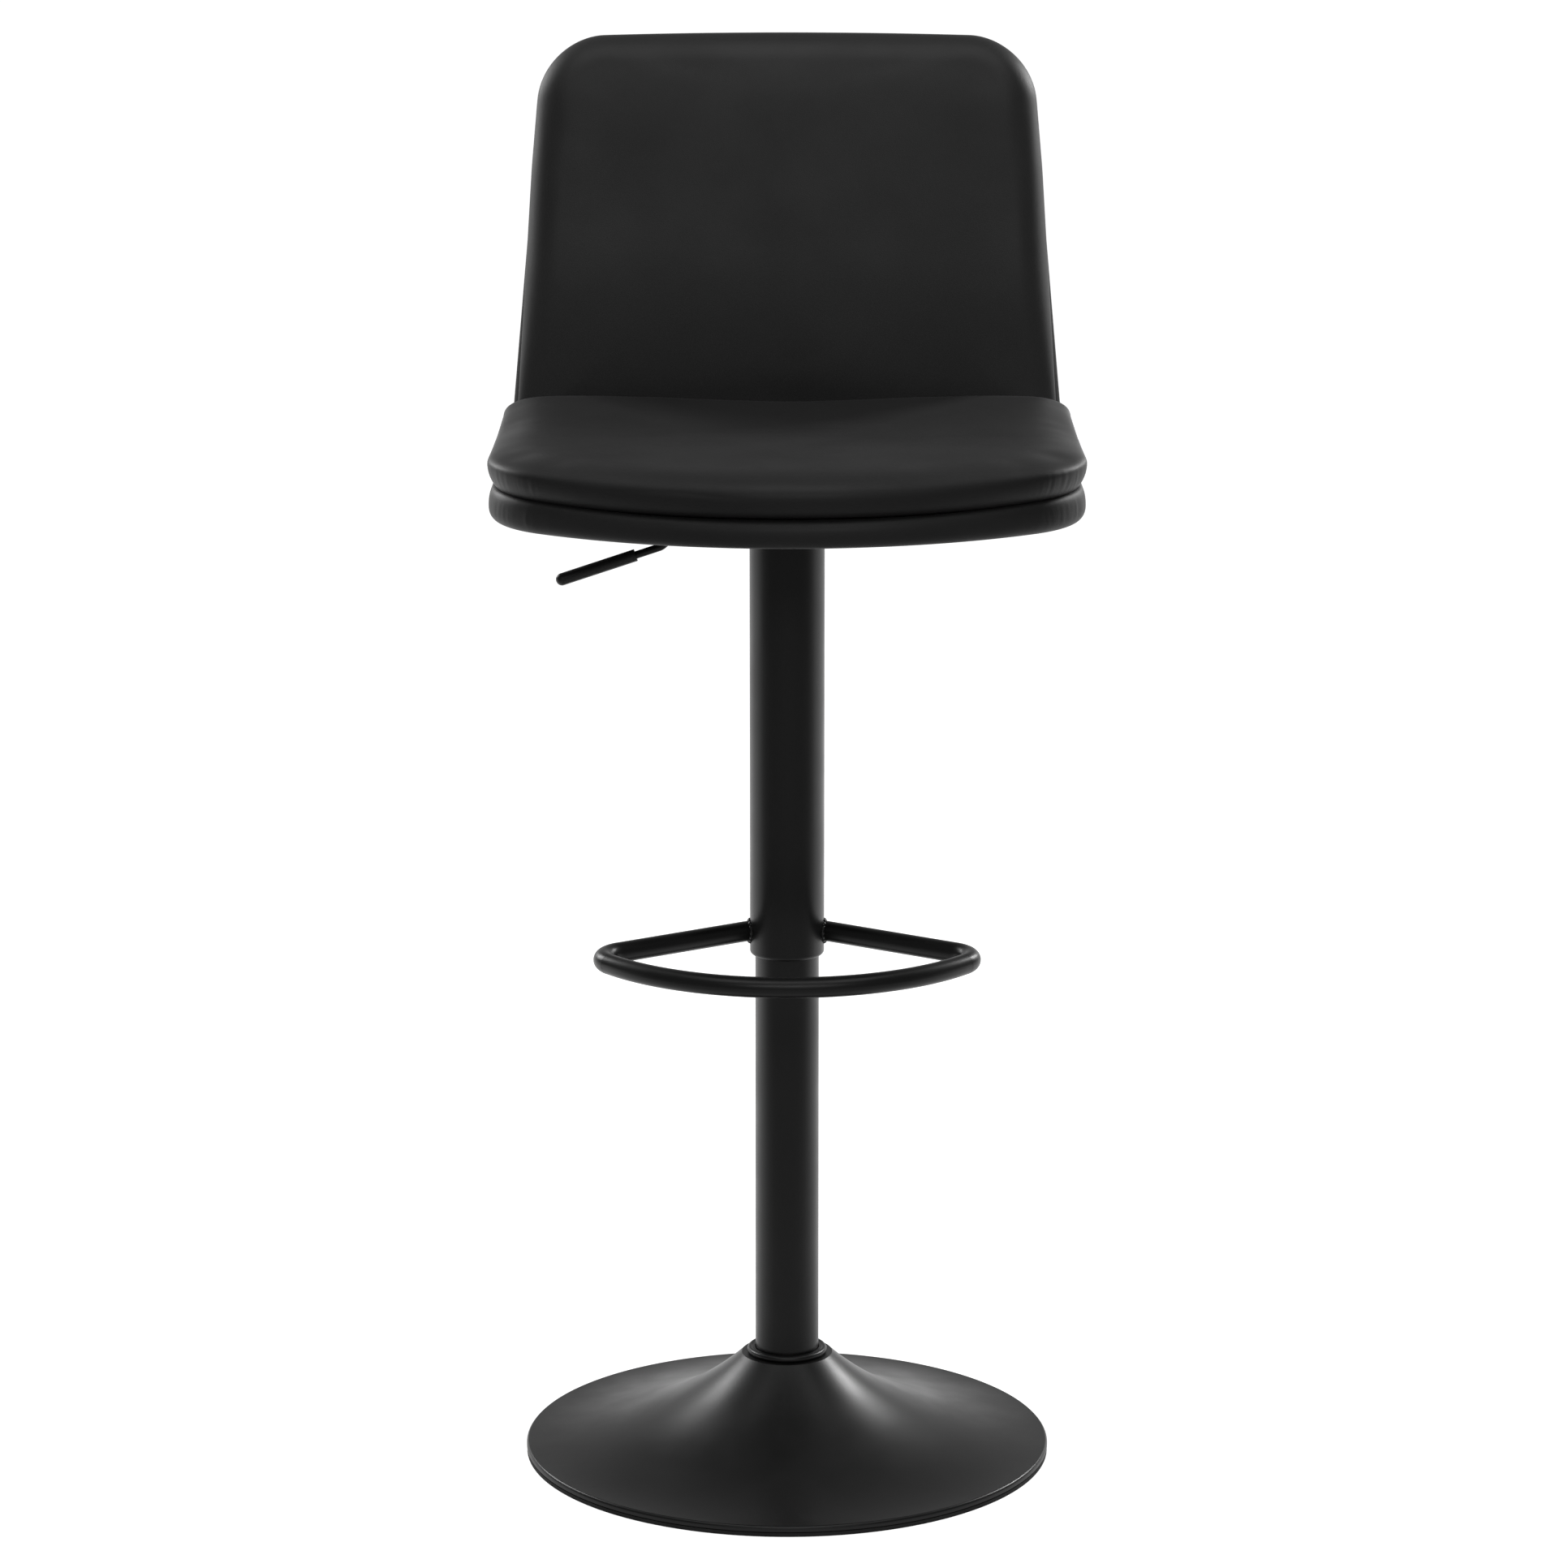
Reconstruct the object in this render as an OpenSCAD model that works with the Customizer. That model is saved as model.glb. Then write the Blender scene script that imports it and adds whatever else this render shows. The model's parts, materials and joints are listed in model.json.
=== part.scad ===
// Gas-lift bar stool with a footrest, a padded seat and a low curved back.
// Millimetres, +Z up. The origin is on the floor, on the axis of the column, and the
// sitter faces -Y. The seat is drawn fully raised.

/* [Heights] */
// Top of the seat above the floor, fully raised
seat_h = 824; // [790:1:860]
// Travel of the gas spring
lift_travel = 200; // [150:5:210]
// Clear height left above the column when the seat is down
lift_gap = 10; // [4:1:20]

/* [Base] */
// Outer diameter of the base
base_d = 416; // [360:1:460]
// Height of the neck of the base
neck_h = 79.5; // [65:0.5:95]
// Diameter where the flared sheet meets the flat neck
neck_d = 72; // [68:1:84]
// Thickness of the spun sheet
shell_t = 2; // [1.5:0.1:3]
// Height of the top of the rim
rim_h = 8.5; // [8:0.5:12]
// Radius and width of the rolled rim
rim_roll = 2.5; // [2:0.1:3.5]
// Slope of the sheet at the rim, in degrees
rim_slope = 1.7; // [0:0.1:4]
// Underside of the stiffening plate above the floor
plate_z = 22; // [20:1:28]
// Thickness of the stiffening plate
plate_t = 3; // [2:0.5:5]

/* [Floor ring] */
// Height of the rubber tread
tread_h = 3.1; // [2:0.1:4]
// Width of the rubber tread
tread_w = 8.8; // [7:0.1:14]
// Height of the shadow gap above the tread
tread_gap = 0.9; // [0.5:0.1:1.5]
// How far the tread stands in from the rim
tread_inset = 0.2; // [0:0.1:1]
// How far the ring above the tread stands back, inside the shadow gap
tread_recess = 1; // [0.5:0.1:2]
// Height of the lip that centres the ring inside the rim
ring_lip_h = 2.2; // [1:0.1:2.4]

/* [Column] */
// Outer diameter of the column
column_d = 50; // [45:1:52]
// Wall of the column
column_wall = 1.6; // [1.2:0.1:3]
// Outer diameter of the collar bead
collar_d = 63.2; // [60:0.2:66]
// Height of the collar bead
collar_h = 5; // [4:0.5:8]
// Radial gap between the collar and the column
collar_gap = 0.6; // [0.3:0.1:1]
// Length of the collar's plug inside the neck
collar_plug = 10; // [6:1:16]
// Diameter of the collar's plug
collar_plug_d = 55; // [54:0.5:56]
// Diameter of the bolted flange
flange_d = 110; // [104:1:130]
// Thickness of the bolted flange
flange_t = 5; // [4:0.5:8]
// Pitch circle of the flange bolts
flange_pcd = 84; // [80:1:88]
// Number of flange bolts
flange_bolt_n = 4; // [3:1:6]
// Diameter of the flange bolts
flange_bolt_d = 8; // [6:1:8]
// Thickness of the washers
washer_t = 1.6; // [1:0.1:2.5]
// Thickness of the column's end plug
plug_t = 6; // [5:0.5:10]
// Length of the guide bush in the top of the column
bush_len = 90; // [60:5:120]
// Height of the guide bush's top rim
bush_rim = 2; // [1:0.5:3]

/* [Gas spring] */
// Outer diameter of the cylinder
cylinder_d = 28; // [26:1:30]
// Wall of the cylinder
cylinder_wall = 1.5; // [1:0.1:2]
// Diameter of the small end of the taper
taper_end_d = 26.4; // [25:0.1:26]
// Length of the taper
taper_len = 30; // [26:1:36]
// Height of the taper's end above its socket
taper_proud = 2.5; // [1:0.5:4]
// Diameter of the piston rod
rod_d = 10; // [9:0.5:11]
// Diameter of the rod's stud ends
stud_d = 8; // [7:0.5:8.5]
// Height of the cylinder's gland
gland_h = 18; // [12:1:24]
// Height of the piston
piston_h = 14; // [10:1:20]
// Height of the piston's seal
seal_h = 4; // [3:0.5:6]
// Depth of the seal's groove
seal_depth = 2; // [1:0.5:3]
// Clear height between the gland and the piston
piston_gap = 3; // [1:1:10]
// Height of the valve body
valve_h = 27; // [24:1:34]
// Diameter of the release pin
pin_d = 5; // [4:0.5:6]
// Height of the release pin above the cylinder
pin_up = 4; // [3.5:0.5:6]
// Length of the release pin inside the valve
pin_in = 20; // [14:1:22]
// Travel of the release pin
pin_travel = 4; // [3:0.5:5]

/* [Thrust bearing] */
// Diameter of the balls
ball_d = 4; // [3:0.5:5]
// Number of balls
ball_n = 10; // [6:1:11]
// Radius of the ring of balls
ball_r = 8.2; // [8:0.1:9]
// Thickness of each race
race_t = 1.6; // [1:0.1:2.5]
// Outer diameter of the races
race_d = 22; // [22:0.5:26]
// Radial clearance of the lower race and the cage round the rod
race_bore_gap = 1; // [0.5:0.1:1.5]
// Thickness of the ball cage
cage_t = 1; // [0.6:0.1:1.4]
// Height of the rubber buffer
buffer_h = 14; // [8:1:20]
// Clear height above the buffer when the seat is down
buffer_gap = 5; // [2:1:15]
// Diameter of the rubber buffer
buffer_d = 23; // [18:0.5:26]
// Thickness of the retaining clip
clip_t = 1.2; // [0.8:0.1:1.6]
// Outer diameter of the retaining clip
clip_d = 13; // [11:0.5:16]
// Width of the clip's mouth
clip_mouth = 4; // [2:0.5:6]
// Play between the clip and the end of the column
clip_play = 0.4; // [0.2:0.1:1]
// Depth of the clip's groove in the stud
clip_groove = 0.6; // [0.4:0.1:1]
// Length of the stud below the clip
stud_tail = 3; // [2:0.5:4]

/* [Sleeve and footrest] */
// Outer diameter of the sleeve
sleeve_d = 58.2; // [57:0.2:62]
// Wall of the sleeve
sleeve_wall = 1.5; // [1.2:0.1:1.8]
// Length of the sleeve
sleeve_len = 340; // [300:5:360]
// Radius of the sleeve's rolled lower edge
sleeve_roll = 3; // [2.5:0.1:3.3]
// Height of the glide ring in the foot of the sleeve
glide_h = 14; // [8:1:30]
// Diameter of the footrest tube
bar_d = 16; // [12:0.5:19]
// Wall of the footrest tube
bar_wall = 1.5; // [1:0.1:2.5]
// Radius of the footrest's front arc about the column, to the tube's centre line
bar_reach = 170; // [150:1:190]
// Radius of the footrest's corner bends
bar_bend = 24; // [18:1:34]
// Angle that each arm turns forward from straight sideways
bar_angle = 33.5; // [28:0.5:40]
// Height of the footrest above the foot of the sleeve
bar_up = 18; // [12:1:60]
// Size of the weld bead round each arm
weld = 2.6; // [1.5:0.1:4]

/* [Seat mechanism] */
// Width of the seat plate
mech_w = 164; // [150:1:190]
// Thickness of the seat plate
mech_t = 3; // [2.5:0.5:4]
// Inside length of the pressed box
box_x = 96; // [88:1:110]
// Inside width of the pressed box
box_y = 76; // [70:1:90]
// Height of the pressed box below the flange
box_h = 28; // [27:1:36]
// Diameter of the taper socket
socket_d = 40; // [36:1:48]
// Height of the socket above the bottom of the box
socket_up = 4; // [2:0.5:5]
// Length of the socket below the bottom of the box
socket_down = 13; // [8:1:16]
// Distance between the seat bolts
bolt_pitch = 124; // [116:1:134]
// Diameter of the seat bolts
bolt_d = 6; // [5:1:7]

/* [Lever] */
// Diameter of the lever rod
lever_d = 6; // [5:0.5:7]
// Distance of the lever's pivot from the column axis
pivot_x = 36; // [33:1:38]
// Diameter of the pivot pin
pivot_d = 4; // [3:0.5:4.5]
// Diameter of the lever's hub
hub_d = 10; // [9:0.5:12]
// Length of the lever's hub
hub_w = 8; // [6:1:12]
// Length of the lever bracket
ear_len = 16; // [14:1:20]
// Thickness of the lever bracket
ear_t = 2; // [1.5:0.5:3]
// Height of the pivot pin's head and length of its riveted end
rivet_h = 1.5; // [1:0.1:2]
// Length of the lever past the column axis
lever_tail = 3; // [2:0.5:6]
// Clearance round the lever in the box's slot
slot_gap = 4; // [3:0.5:5]
// Distance from the column axis to the first bend
lever_bend_x = 60; // [58:1:66]
// Distance from the column axis to the second bend
lever_knee_x = 97; // [92:1:110]
// Drop between the two bends
lever_drop = 32.5; // [24:0.5:40]
// Radius of both bends
lever_bend = 12; // [10:1:16]
// Slope of the lever's outer end, in degrees
lever_slope = 18.5; // [10:0.5:25]
// Length of bare rod between the second bend and the grip
lever_bare = 21; // [15:1:30]
// Diameter of the grip
grip_d = 9.7; // [9:0.1:14]
// Thickness of the closed end of the grip
grip_end = 2; // [1:0.5:4]
// Length of the grip
grip_len = 65; // [50:1:90]

/* [Seat] */
// Greatest width of the seat
seat_w = 451; // [430:1:480]
// Distance from the column axis to the front edge
seat_front = 209; // [195:1:220]
// Radius of the front edge
front_r = 330; // [300:5:380]
// Radius of the front corners
corner_r = 88; // [70:1:100]
// Angle that each side turns in towards the back
side_angle = 1; // [0.5:0.5:4]
// Radius of the rear corners
rear_r = 32; // [30:1:40]
// Thickness of the seat cushion
cushion_t = 33; // [28:1:44]
// Width over which the cushion rolls over to its top
cushion_roll = 26; // [16:1:40]
// Width over which the cushion draws in to its foot
cushion_tuck = 7; // [3:1:12]
// Share of the cushion's height at which it is widest
cushion_belly = 0.4; // [0.3:0.05:0.6]
// Thickness of the upholstered seat pan
pan_t = 21; // [18:1:28]
// Width over which the pan's lower edge rolls over
pan_roll = 8; // [4:1:12]
// Share of the padding's width that rolls over at the pan's upper edge
pan_shoulder = 0.7; // [0.4:0.1:0.8]
// Thickness of the plywood seat board
board_t = 12; // [10:1:15]
// Thickness of the padding round the board's edge
pan_wrap = 7; // [5:1:10]
// Width of the seat pan's turned-under border
pan_border = 26; // [20:1:29]
// Gap between the cloth and the steel plates
cloth_gap = 1; // [0.5:0.5:4]
// Thickness of the cloth under the seat
cloth_t = 0.8; // [0.5:0.1:1.5]

/* [Back] */
// Distance from the column axis to the joint between the back's cushion and its shell
back_y = 215; // [208:1:226]
// Lean of the back, in degrees
back_tilt = 10; // [6:0.5:14]
// Height of the back cushion along the back
back_h = 325; // [300:1:400]
// Radius of the joint between the cushion and the shell, seen from above
back_r = 1036; // [900:4:1300]
// Half width of the back at its foot
back_foot_w = 220.5; // [205:0.5:222]
// Half width of the back at the top corners
back_top_w = 193.5; // [185:0.5:205]
// Radius of the top corners
back_corner = 50; // [40:1:60]
// Radius of the lower corners
back_heel = 14; // [8:1:20]
// How much the top edge falls from its middle to its ends
back_crown = 5; // [0:1:12]
// Thickness of the back cushion
pad_t = 36; // [30:1:48]
// Thickness of the back cushion at its rim
pad_rim = 8; // [6:1:14]
// Height of the back cushion's lower edge above the foot of the back
pad_foot = 3; // [1:1:8]
// How far the back cushion's edge stands in from the shell's edge
pad_inset = 3; // [1:0.5:5]
// Width over which the cushion rolls over to its rim
pad_roll = 24; // [16:1:34]
// Thickness of the back shell
shell_pad_t = 23; // [21:1:30]
// Thickness of the back shell at its rim
shell_pad_rim = 6; // [4:1:10]
// Width over which the back shell rolls over to its rim
shell_pad_roll = 26; // [16:1:36]
// Length of the back shell below the cushion
shell_drop = 8; // [7:1:10]
// Thickness of the plywood back board
back_board_t = 10; // [8:1:11]
// Border between the back board and the edge of the back
back_board_inset = 16; // [12:1:24]

/* [Back bracket] */
// Width of the bracket
strap_w = 60; // [50:1:80]
// Thickness of the bracket
strap_t = 4.5; // [3:0.5:4.5]
// Reach of the bracket under the seat board, from the column axis
strap_start = 86; // [84:1:92]
// Length of the bracket's upright
strap_rise = 150; // [120:5:220]
// Distance from the ends of the bracket to the nearest screws
screw_inset = 14; // [10:1:20]
// Distance between the screws across the bracket
screw_pitch_x = 40; // [30:1:44]
// Distance between the screws along the bracket
screw_pitch_y = 34; // [25:1:36]
// Diameter of the bracket's screws
screw_d = 4.8; // [4:0.2:6]
// Thickness of wood left beyond the screws
screw_cover = 2.5; // [2:0.5:5]
// Height of the screw heads
screw_head_h = 3; // [2:0.5:3]

/* [Fits] */
// Radial clearance of running fits
run = 0.05; // [0.02:0.01:0.1]
// Radial clearance of pieces that are pressed or bolted together
fit = 0.05; // [0.03:0.01:0.1]
// Play of the balls between the races and in the cage
ball_gap = 0.1; // [0.05:0.05:0.2]
// Side clearance of the lever's hub, and of the cage inside the races
side_play = 0.3; // [0.2:0.1:0.5]
// Play between the lever and the release pin, and at the foot of the pin's bore
pin_play = 0.5; // [0.3:0.1:0.8]
// Gap between soft pieces
soft = 0.3; // [0.2:0.1:0.6]
// Radial clearance of bolt holes
hole = 0.2; // [0.1:0.05:0.3]

/* [Hidden] */
$fn = 96;
cut = 1; // overshoot of every cutting solid
fine = 720; // facets of circles with a large radius
lap = 0.5; // length that a straight or a sheet runs into the piece that it meets
swell = 0.05; // how far a bend's skin stands proud of its straights
across = 11; // panels in half the width of a pad of the back
upward = 14; // panels in the height of a pad of the back
roll_steps = 4; // steps in a rolled edge
hex_w = 1.85; // width of a hexagon over its corners, as a share of the thread
head_part = 0.65; // height of a bolt's head, as a share of the thread
nut_part = 0.8; // height of a nut, as a share of the thread

black = [0.07, 0.07, 0.08];
leather = [0.11, 0.11, 0.12];
zinc = [0.72, 0.73, 0.75];
steel = [0.55, 0.56, 0.58];
plywood = [0.80, 0.66, 0.45];
rubber = [0.16, 0.16, 0.17];
nylon = [0.30, 0.30, 0.32];
brass = [0.78, 0.62, 0.30];

// Base: the sheet is a circular arc that leaves the rim at rim_slope and meets the neck
rim_r = base_d / 2;
arc_end_r = rim_r - rim_roll / 2;
neck_r = neck_d / 2;
arc_run = arc_end_r - neck_r;
arc_rise = neck_h - rim_h;
arc_r = (arc_run * arc_run + arc_rise * arc_rise)
    / (2 * (arc_rise * cos(rim_slope) - arc_run * sin(rim_slope)));
arc_x = arc_end_r + arc_r * sin(rim_slope);
arc_z = rim_h + arc_r * cos(rim_slope);
rim_foot = tread_h + tread_gap;
plate_top = plate_z + plate_t;
// Radius at which the inside of the sheet is as high as the top of the plate
plate_r = arc_x - sqrt(pow(arc_r + shell_t, 2) - pow(arc_z - plate_top, 2)) - fit;

// Column
column_r = column_d / 2;
column_bore = column_r - column_wall;
column_z = plate_z - flange_t;
collar_plug_r = collar_plug_d / 2;
nut_h = nut_part * flange_bolt_d;

// Thrust bearing, on the end plug
plug_top = column_z + plug_t;
race_top = plug_top + race_t;
ball_z = race_top + ball_gap + ball_d / 2;
upper_race_z = ball_z + ball_d / 2 + ball_gap;
rod_z = upper_race_z + race_t;
buffer_top = rod_z + buffer_h;
clip_z = column_z - clip_t - clip_play;
stud_z = clip_z - stud_tail;

// Seat heights
pan_z = seat_h - cushion_t - pan_t;
pan_top = pan_z + pan_t;
board_z = pan_top - board_t;
mech_z = board_z - mech_t;
box_z = mech_z - box_h;
box_floor = box_z + mech_t;

// Gas spring
socket_top = box_floor + socket_up;
socket_z = box_z - socket_down;
cylinder_top = socket_top + taper_proud;
cylinder_r = cylinder_d / 2;
cylinder_bore = cylinder_r - cylinder_wall;
cylinder_z = buffer_top + lift_travel + buffer_gap;
taper_z = cylinder_top - taper_len;
piston_z = cylinder_z + gland_h + piston_gap;
pin_top = cylinder_top + pin_up;
column_top = socket_z - lift_travel - lift_gap - bush_rim;

// Lever
lever_z = pin_top + pin_play + lever_d / 2;
knee = [-lever_knee_x, lever_z - lever_drop];
lever_dir = [-cos(lever_slope), -sin(lever_slope)];
rod_in_grip = grip_len - grip_d / 2 - grip_end;

// Sleeve and footrest
sleeve_r = sleeve_d / 2;
sleeve_bore = sleeve_r - sleeve_wall;
sleeve_z = box_z - sleeve_len;
bar_z = sleeve_z + bar_up;
arm_dir = [cos(bar_angle), -sin(bar_angle)];
arm_side = [sin(bar_angle), cos(bar_angle)];
arm_off = sleeve_r * sin(bar_angle);
bend_off = arm_off - bar_bend;
bend_along = sqrt(pow(bar_reach - bar_bend, 2) - bend_off * bend_off);
bend_c = arm_side * bend_off + arm_dir * bend_along;
bend_start = atan2(bend_c[1], bend_c[0]);
arm_start = sleeve_r / 4;

// Seat outline: a front arc, two corners, two straight sides and a rear arc that
// follows the front face of the back
front_c = [0, front_r - seat_front];
rear_c = [0, back_y - (back_r - pad_t) - pad_t / cos(back_tilt)];
rear_arc_r = back_r - pad_t - soft;
side_n = [cos(side_angle), sin(side_angle)];
side_t = [-sin(side_angle), cos(side_angle)];
front_corner_x = seat_w / 2 - corner_r;
front_corner = [front_corner_x,
    front_c[1] - sqrt(pow(front_r - corner_r, 2) - pow(front_corner_x, 2))];
side_off = front_corner * side_n + corner_r;
rear_corner = side_n * (side_off - rear_r) + side_t * (rear_c * side_t
    + sqrt(pow(rear_arc_r - rear_r, 2) - pow(side_off - rear_r - rear_c * side_n, 2)));

// Back: its own frame stands on the joint between cushion and shell
back_z = board_z;
strap_z = board_z - strap_t;
strap_slack = screw_head_h + soft;
pocket_depth = back_board_t + strap_t + strap_slack;
back_sag = back_r - sqrt(back_r * back_r - back_foot_w * back_foot_w);
seat_tee_r = 1.5 * bolt_d;
seat_barrel_r = bolt_d / 2 + 1;

// Points of an arc in n steps; first = 1 leaves out the point that the last arc ended on
function arc_points(c, r, a0, a1, n, first = 0) = [for (i = [first:n])
    let (a = a0 + (a1 - a0) * i / n) c + r * [cos(a), sin(a)]];
function bearing(a, b) = atan2(b[1] - a[1], b[0] - a[0]);
function mirrored(points) = [for (i = [len(points) - 1:-1:0]) [-points[i][0], points[i][1]]];
// Right half of the seat outline from the front to the rear, inset by d
function half_outline(d) = concat(
    arc_points(front_c, front_r - d, -90, bearing(front_c, front_corner), 10),
    arc_points(front_corner, corner_r - d, bearing(front_c, front_corner), side_angle, 9, 1),
    arc_points(rear_corner, rear_r - d, side_angle, bearing(rear_c, rear_corner), 6),
    arc_points(rear_c, rear_arc_r - d, bearing(rear_c, rear_corner), 90, 8, 1));
function seat_outline(d) = let (h = half_outline(d), m = mirrored(h))
    concat(h, [for (i = [1:len(m) - 2]) m[i]]);

function unit(a) = a / norm(a);
function left_of(a) = [-a[1], a[0]];
function turn(a, b) = atan2(a[0] * b[1] - a[1] * b[0], a * b);

// Closed solid through a stack of rings with the same number of points
module loft(rings) {
    n = len(rings[0]);
    last = len(rings) - 1;
    points = [for (ring = rings) each ring];
    walls = [for (k = [0:last - 1]) for (i = [0:n - 1]) let (j = (i + 1) % n)
        each [[k * n + i, (k + 1) * n + i, (k + 1) * n + j], [k * n + i, (k + 1) * n + j, k * n + j]]];
    caps = [[for (i = [0:n - 1]) i], [for (i = [n - 1:-1:0]) last * n + i]];
    polyhedron(points, concat(walls, caps), convexity = 4);
}

// Slab of the seat's outline from z up by h, drawn in by foot below its widest height
// and by top above it
module padded_slab(z, h, foot, top, widest) {
    step = 90 / roll_steps;
    levels = concat(
        [for (a = [0:step:89]) [foot * (1 - sin(a)), z + widest * (1 - cos(a))]],
        [for (a = [0:step:90]) [top * (1 - cos(a)), z + widest + (h - widest) * sin(a)]]);
    loft([for (level = levels) [for (p = seat_outline(level[0])) [p[0], p[1], level[1]]]]);
}

// Round bar along a flat path, with a bend of radius bend at each inner point
module bent_bar(path, bend, d) {
    last = len(path) - 1;
    for (i = [0:last - 1]) {
        u = unit(path[i + 1] - path[i]);
        before = i == 0 ? 0 : bend * tan(abs(turn(path[i] - path[i - 1], u)) / 2);
        after = i == last - 1 ? 0 : bend * tan(abs(turn(u, path[i + 2] - path[i + 1])) / 2);
        lap_in = i == 0 ? 0 : lap;
        lap_out = i == last - 1 ? 0 : lap;
        length = norm(path[i + 1] - path[i]) - before - after;
        translate(path[i] + u * (before - lap_in))
            rotate([0, 90, atan2(u[1], u[0])]) cylinder(h = lap_in + length + lap_out, d = d);
    }
    for (i = [1:last - 1]) {
        u = unit(path[i] - path[i - 1]);
        angle = turn(u, path[i + 1] - path[i]);
        inward = left_of(u) * sign(angle);
        centre = path[i] - u * bend * tan(abs(angle) / 2) + inward * bend;
        first = atan2(-inward[1], -inward[0]);
        translate(centre)
            rotate([0, 0, min(first, first + angle)])
                rotate_extrude(angle = abs(angle))
                    translate([bend, 0]) circle(r = d / 2 + swell);
    }
}

module ring(z, h, r_out, r_in) {
    translate([0, 0, z]) difference() {
        cylinder(h = h, r = r_out);
        translate([0, 0, -cut]) cylinder(h = h + 2 * cut, r = r_in);
    }
}

// Hexagon bolt of thread d that stands up from z = 0, its head below
module hex_bolt(d, length) {
    head_h = head_part * d;
    translate([0, 0, -head_h]) cylinder(h = head_h, d = hex_w * d, $fn = 6);
    cylinder(h = length, d = d);
}

module at_flange_bolts() {
    for (i = [0:flange_bolt_n - 1])
        rotate([0, 0, 45 + 360 * i / flange_bolt_n]) translate([flange_pcd / 2, 0, 0]) children();
}

module at_seat_bolts() {
    for (x = [-1, 1], y = [-1, 1]) translate([x, y, 0] * bolt_pitch / 2) children();
}

module at_seat_screws() {
    first = strap_start + screw_inset;
    for (x = [-1, 1], i = [0, 1])
        translate([x * screw_pitch_x / 2, first + i * screw_pitch_y, 0]) children();
}

// Places its children in the back's leaning frame
module on_back() {
    translate([0, back_y, back_z]) rotate([-back_tilt, 0, 0]) children();
}

module at_back_screws() {
    for (x = [-1, 1], i = [0, 1])
        translate([x * screw_pitch_x / 2, 0, strap_rise - screw_inset - i * screw_pitch_y])
            children();
}

// Base

module floor_ring() {
    inner = rim_r - tread_inset - tread_w;
    color(rubber) rotate_extrude() {
        translate([inner, 0]) square([tread_w, tread_h]);
        translate([inner, 0]) square([tread_w - tread_recess, rim_foot]);
        translate([inner, 0]) square([rim_r - rim_roll - fit - inner, rim_foot + ring_lip_h]);
    }
}

module base_shell() {
    color(black) rotate_extrude() {
        intersection() {
            difference() {
                translate([arc_x, arc_z]) circle(r = arc_r + shell_t, $fn = fine);
                translate([arc_x, arc_z]) circle(r = arc_r, $fn = fine);
            }
            translate([neck_r, 0]) square([arc_end_r - neck_r, neck_h]);
        }
        translate([collar_plug_r + fit, neck_h - shell_t])
            square([neck_r + lap - collar_plug_r - fit, shell_t]);
        translate([rim_r - rim_roll, rim_foot])
            square([rim_roll, rim_h - rim_roll - rim_foot]);
        intersection() {
            translate([rim_r - rim_roll, rim_h - rim_roll]) circle(r = rim_roll);
            translate([rim_r - rim_roll, rim_h - rim_roll]) square(rim_roll);
        }
    }
}

module base_plate() {
    color(steel) difference() {
        ring(plate_z, plate_t, plate_r, column_r + fit);
        at_flange_bolts() translate([0, 0, plate_z - cut])
            cylinder(h = plate_t + 2 * cut, r = flange_bolt_d / 2 + hole);
    }
}

module weld_nuts() {
    color(zinc) at_flange_bolts() translate([0, 0, plate_top]) difference() {
        cylinder(h = nut_h, d = hex_w * flange_bolt_d, $fn = 6);
        translate([0, 0, -cut]) cylinder(h = nut_h + 2 * cut, r = flange_bolt_d / 2 + fit);
    }
}

module column_flange() {
    color(steel) difference() {
        ring(column_z, flange_t, flange_d / 2, column_r + fit);
        at_flange_bolts() translate([0, 0, column_z - cut])
            cylinder(h = flange_t + 2 * cut, r = flange_bolt_d / 2 + hole);
    }
}

module flange_bolts() {
    color(zinc) at_flange_bolts() translate([0, 0, column_z - washer_t])
        hex_bolt(flange_bolt_d, washer_t + flange_t + plate_t + nut_h);
}

module flange_washers() {
    color(zinc) at_flange_bolts()
        ring(column_z - washer_t, washer_t, flange_bolt_d, flange_bolt_d / 2 + fit);
}

// Column

module column_tube() {
    color(black) ring(column_z, column_top - column_z, column_r, column_bore);
}

module column_plug() {
    color(steel) ring(column_z, plug_t, column_bore - fit, stud_d / 2 + run);
}

module column_collar() {
    bead = collar_h / 2;
    bore = column_r + collar_gap;
    color(black) rotate_extrude() {
        translate([collar_d / 2 - bead, neck_h + bead]) circle(r = bead);
        translate([bore, neck_h]) square([collar_d / 2 - bead - bore, collar_h - lap]);
        translate([bore, neck_h - collar_plug]) square([collar_plug_r - bore, collar_plug + bead]);
    }
}

module guide_bush() {
    color(nylon) {
        ring(column_top - bush_len, bush_len, column_bore - fit, cylinder_r + run);
        ring(column_top, bush_rim, column_r, cylinder_r + run);
    }
}

// Thrust bearing at the foot of the gas spring

module lower_race() {
    color(steel) ring(plug_top, race_t, race_d / 2, stud_d / 2 + race_bore_gap);
}

module bearing_cage() {
    color(brass) difference() {
        ring(ball_z - cage_t / 2, cage_t, race_d / 2 - side_play, stud_d / 2 + race_bore_gap);
        at_balls() cylinder(h = cage_t + 2 * cut, r = ball_d / 2 + ball_gap, center = true);
    }
}

module at_balls() {
    for (i = [0:ball_n - 1])
        rotate([0, 0, 360 * i / ball_n]) translate([ball_r, 0, ball_z]) children();
}

module bearing_balls() {
    color(zinc) at_balls() sphere(d = ball_d, $fn = 32);
}

module upper_race() {
    color(steel) ring(upper_race_z, race_t, race_d / 2, stud_d / 2 + fit);
}

module rubber_buffer() {
    color(rubber) ring(rod_z, buffer_h, buffer_d / 2, rod_d / 2 + fit);
}

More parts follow.
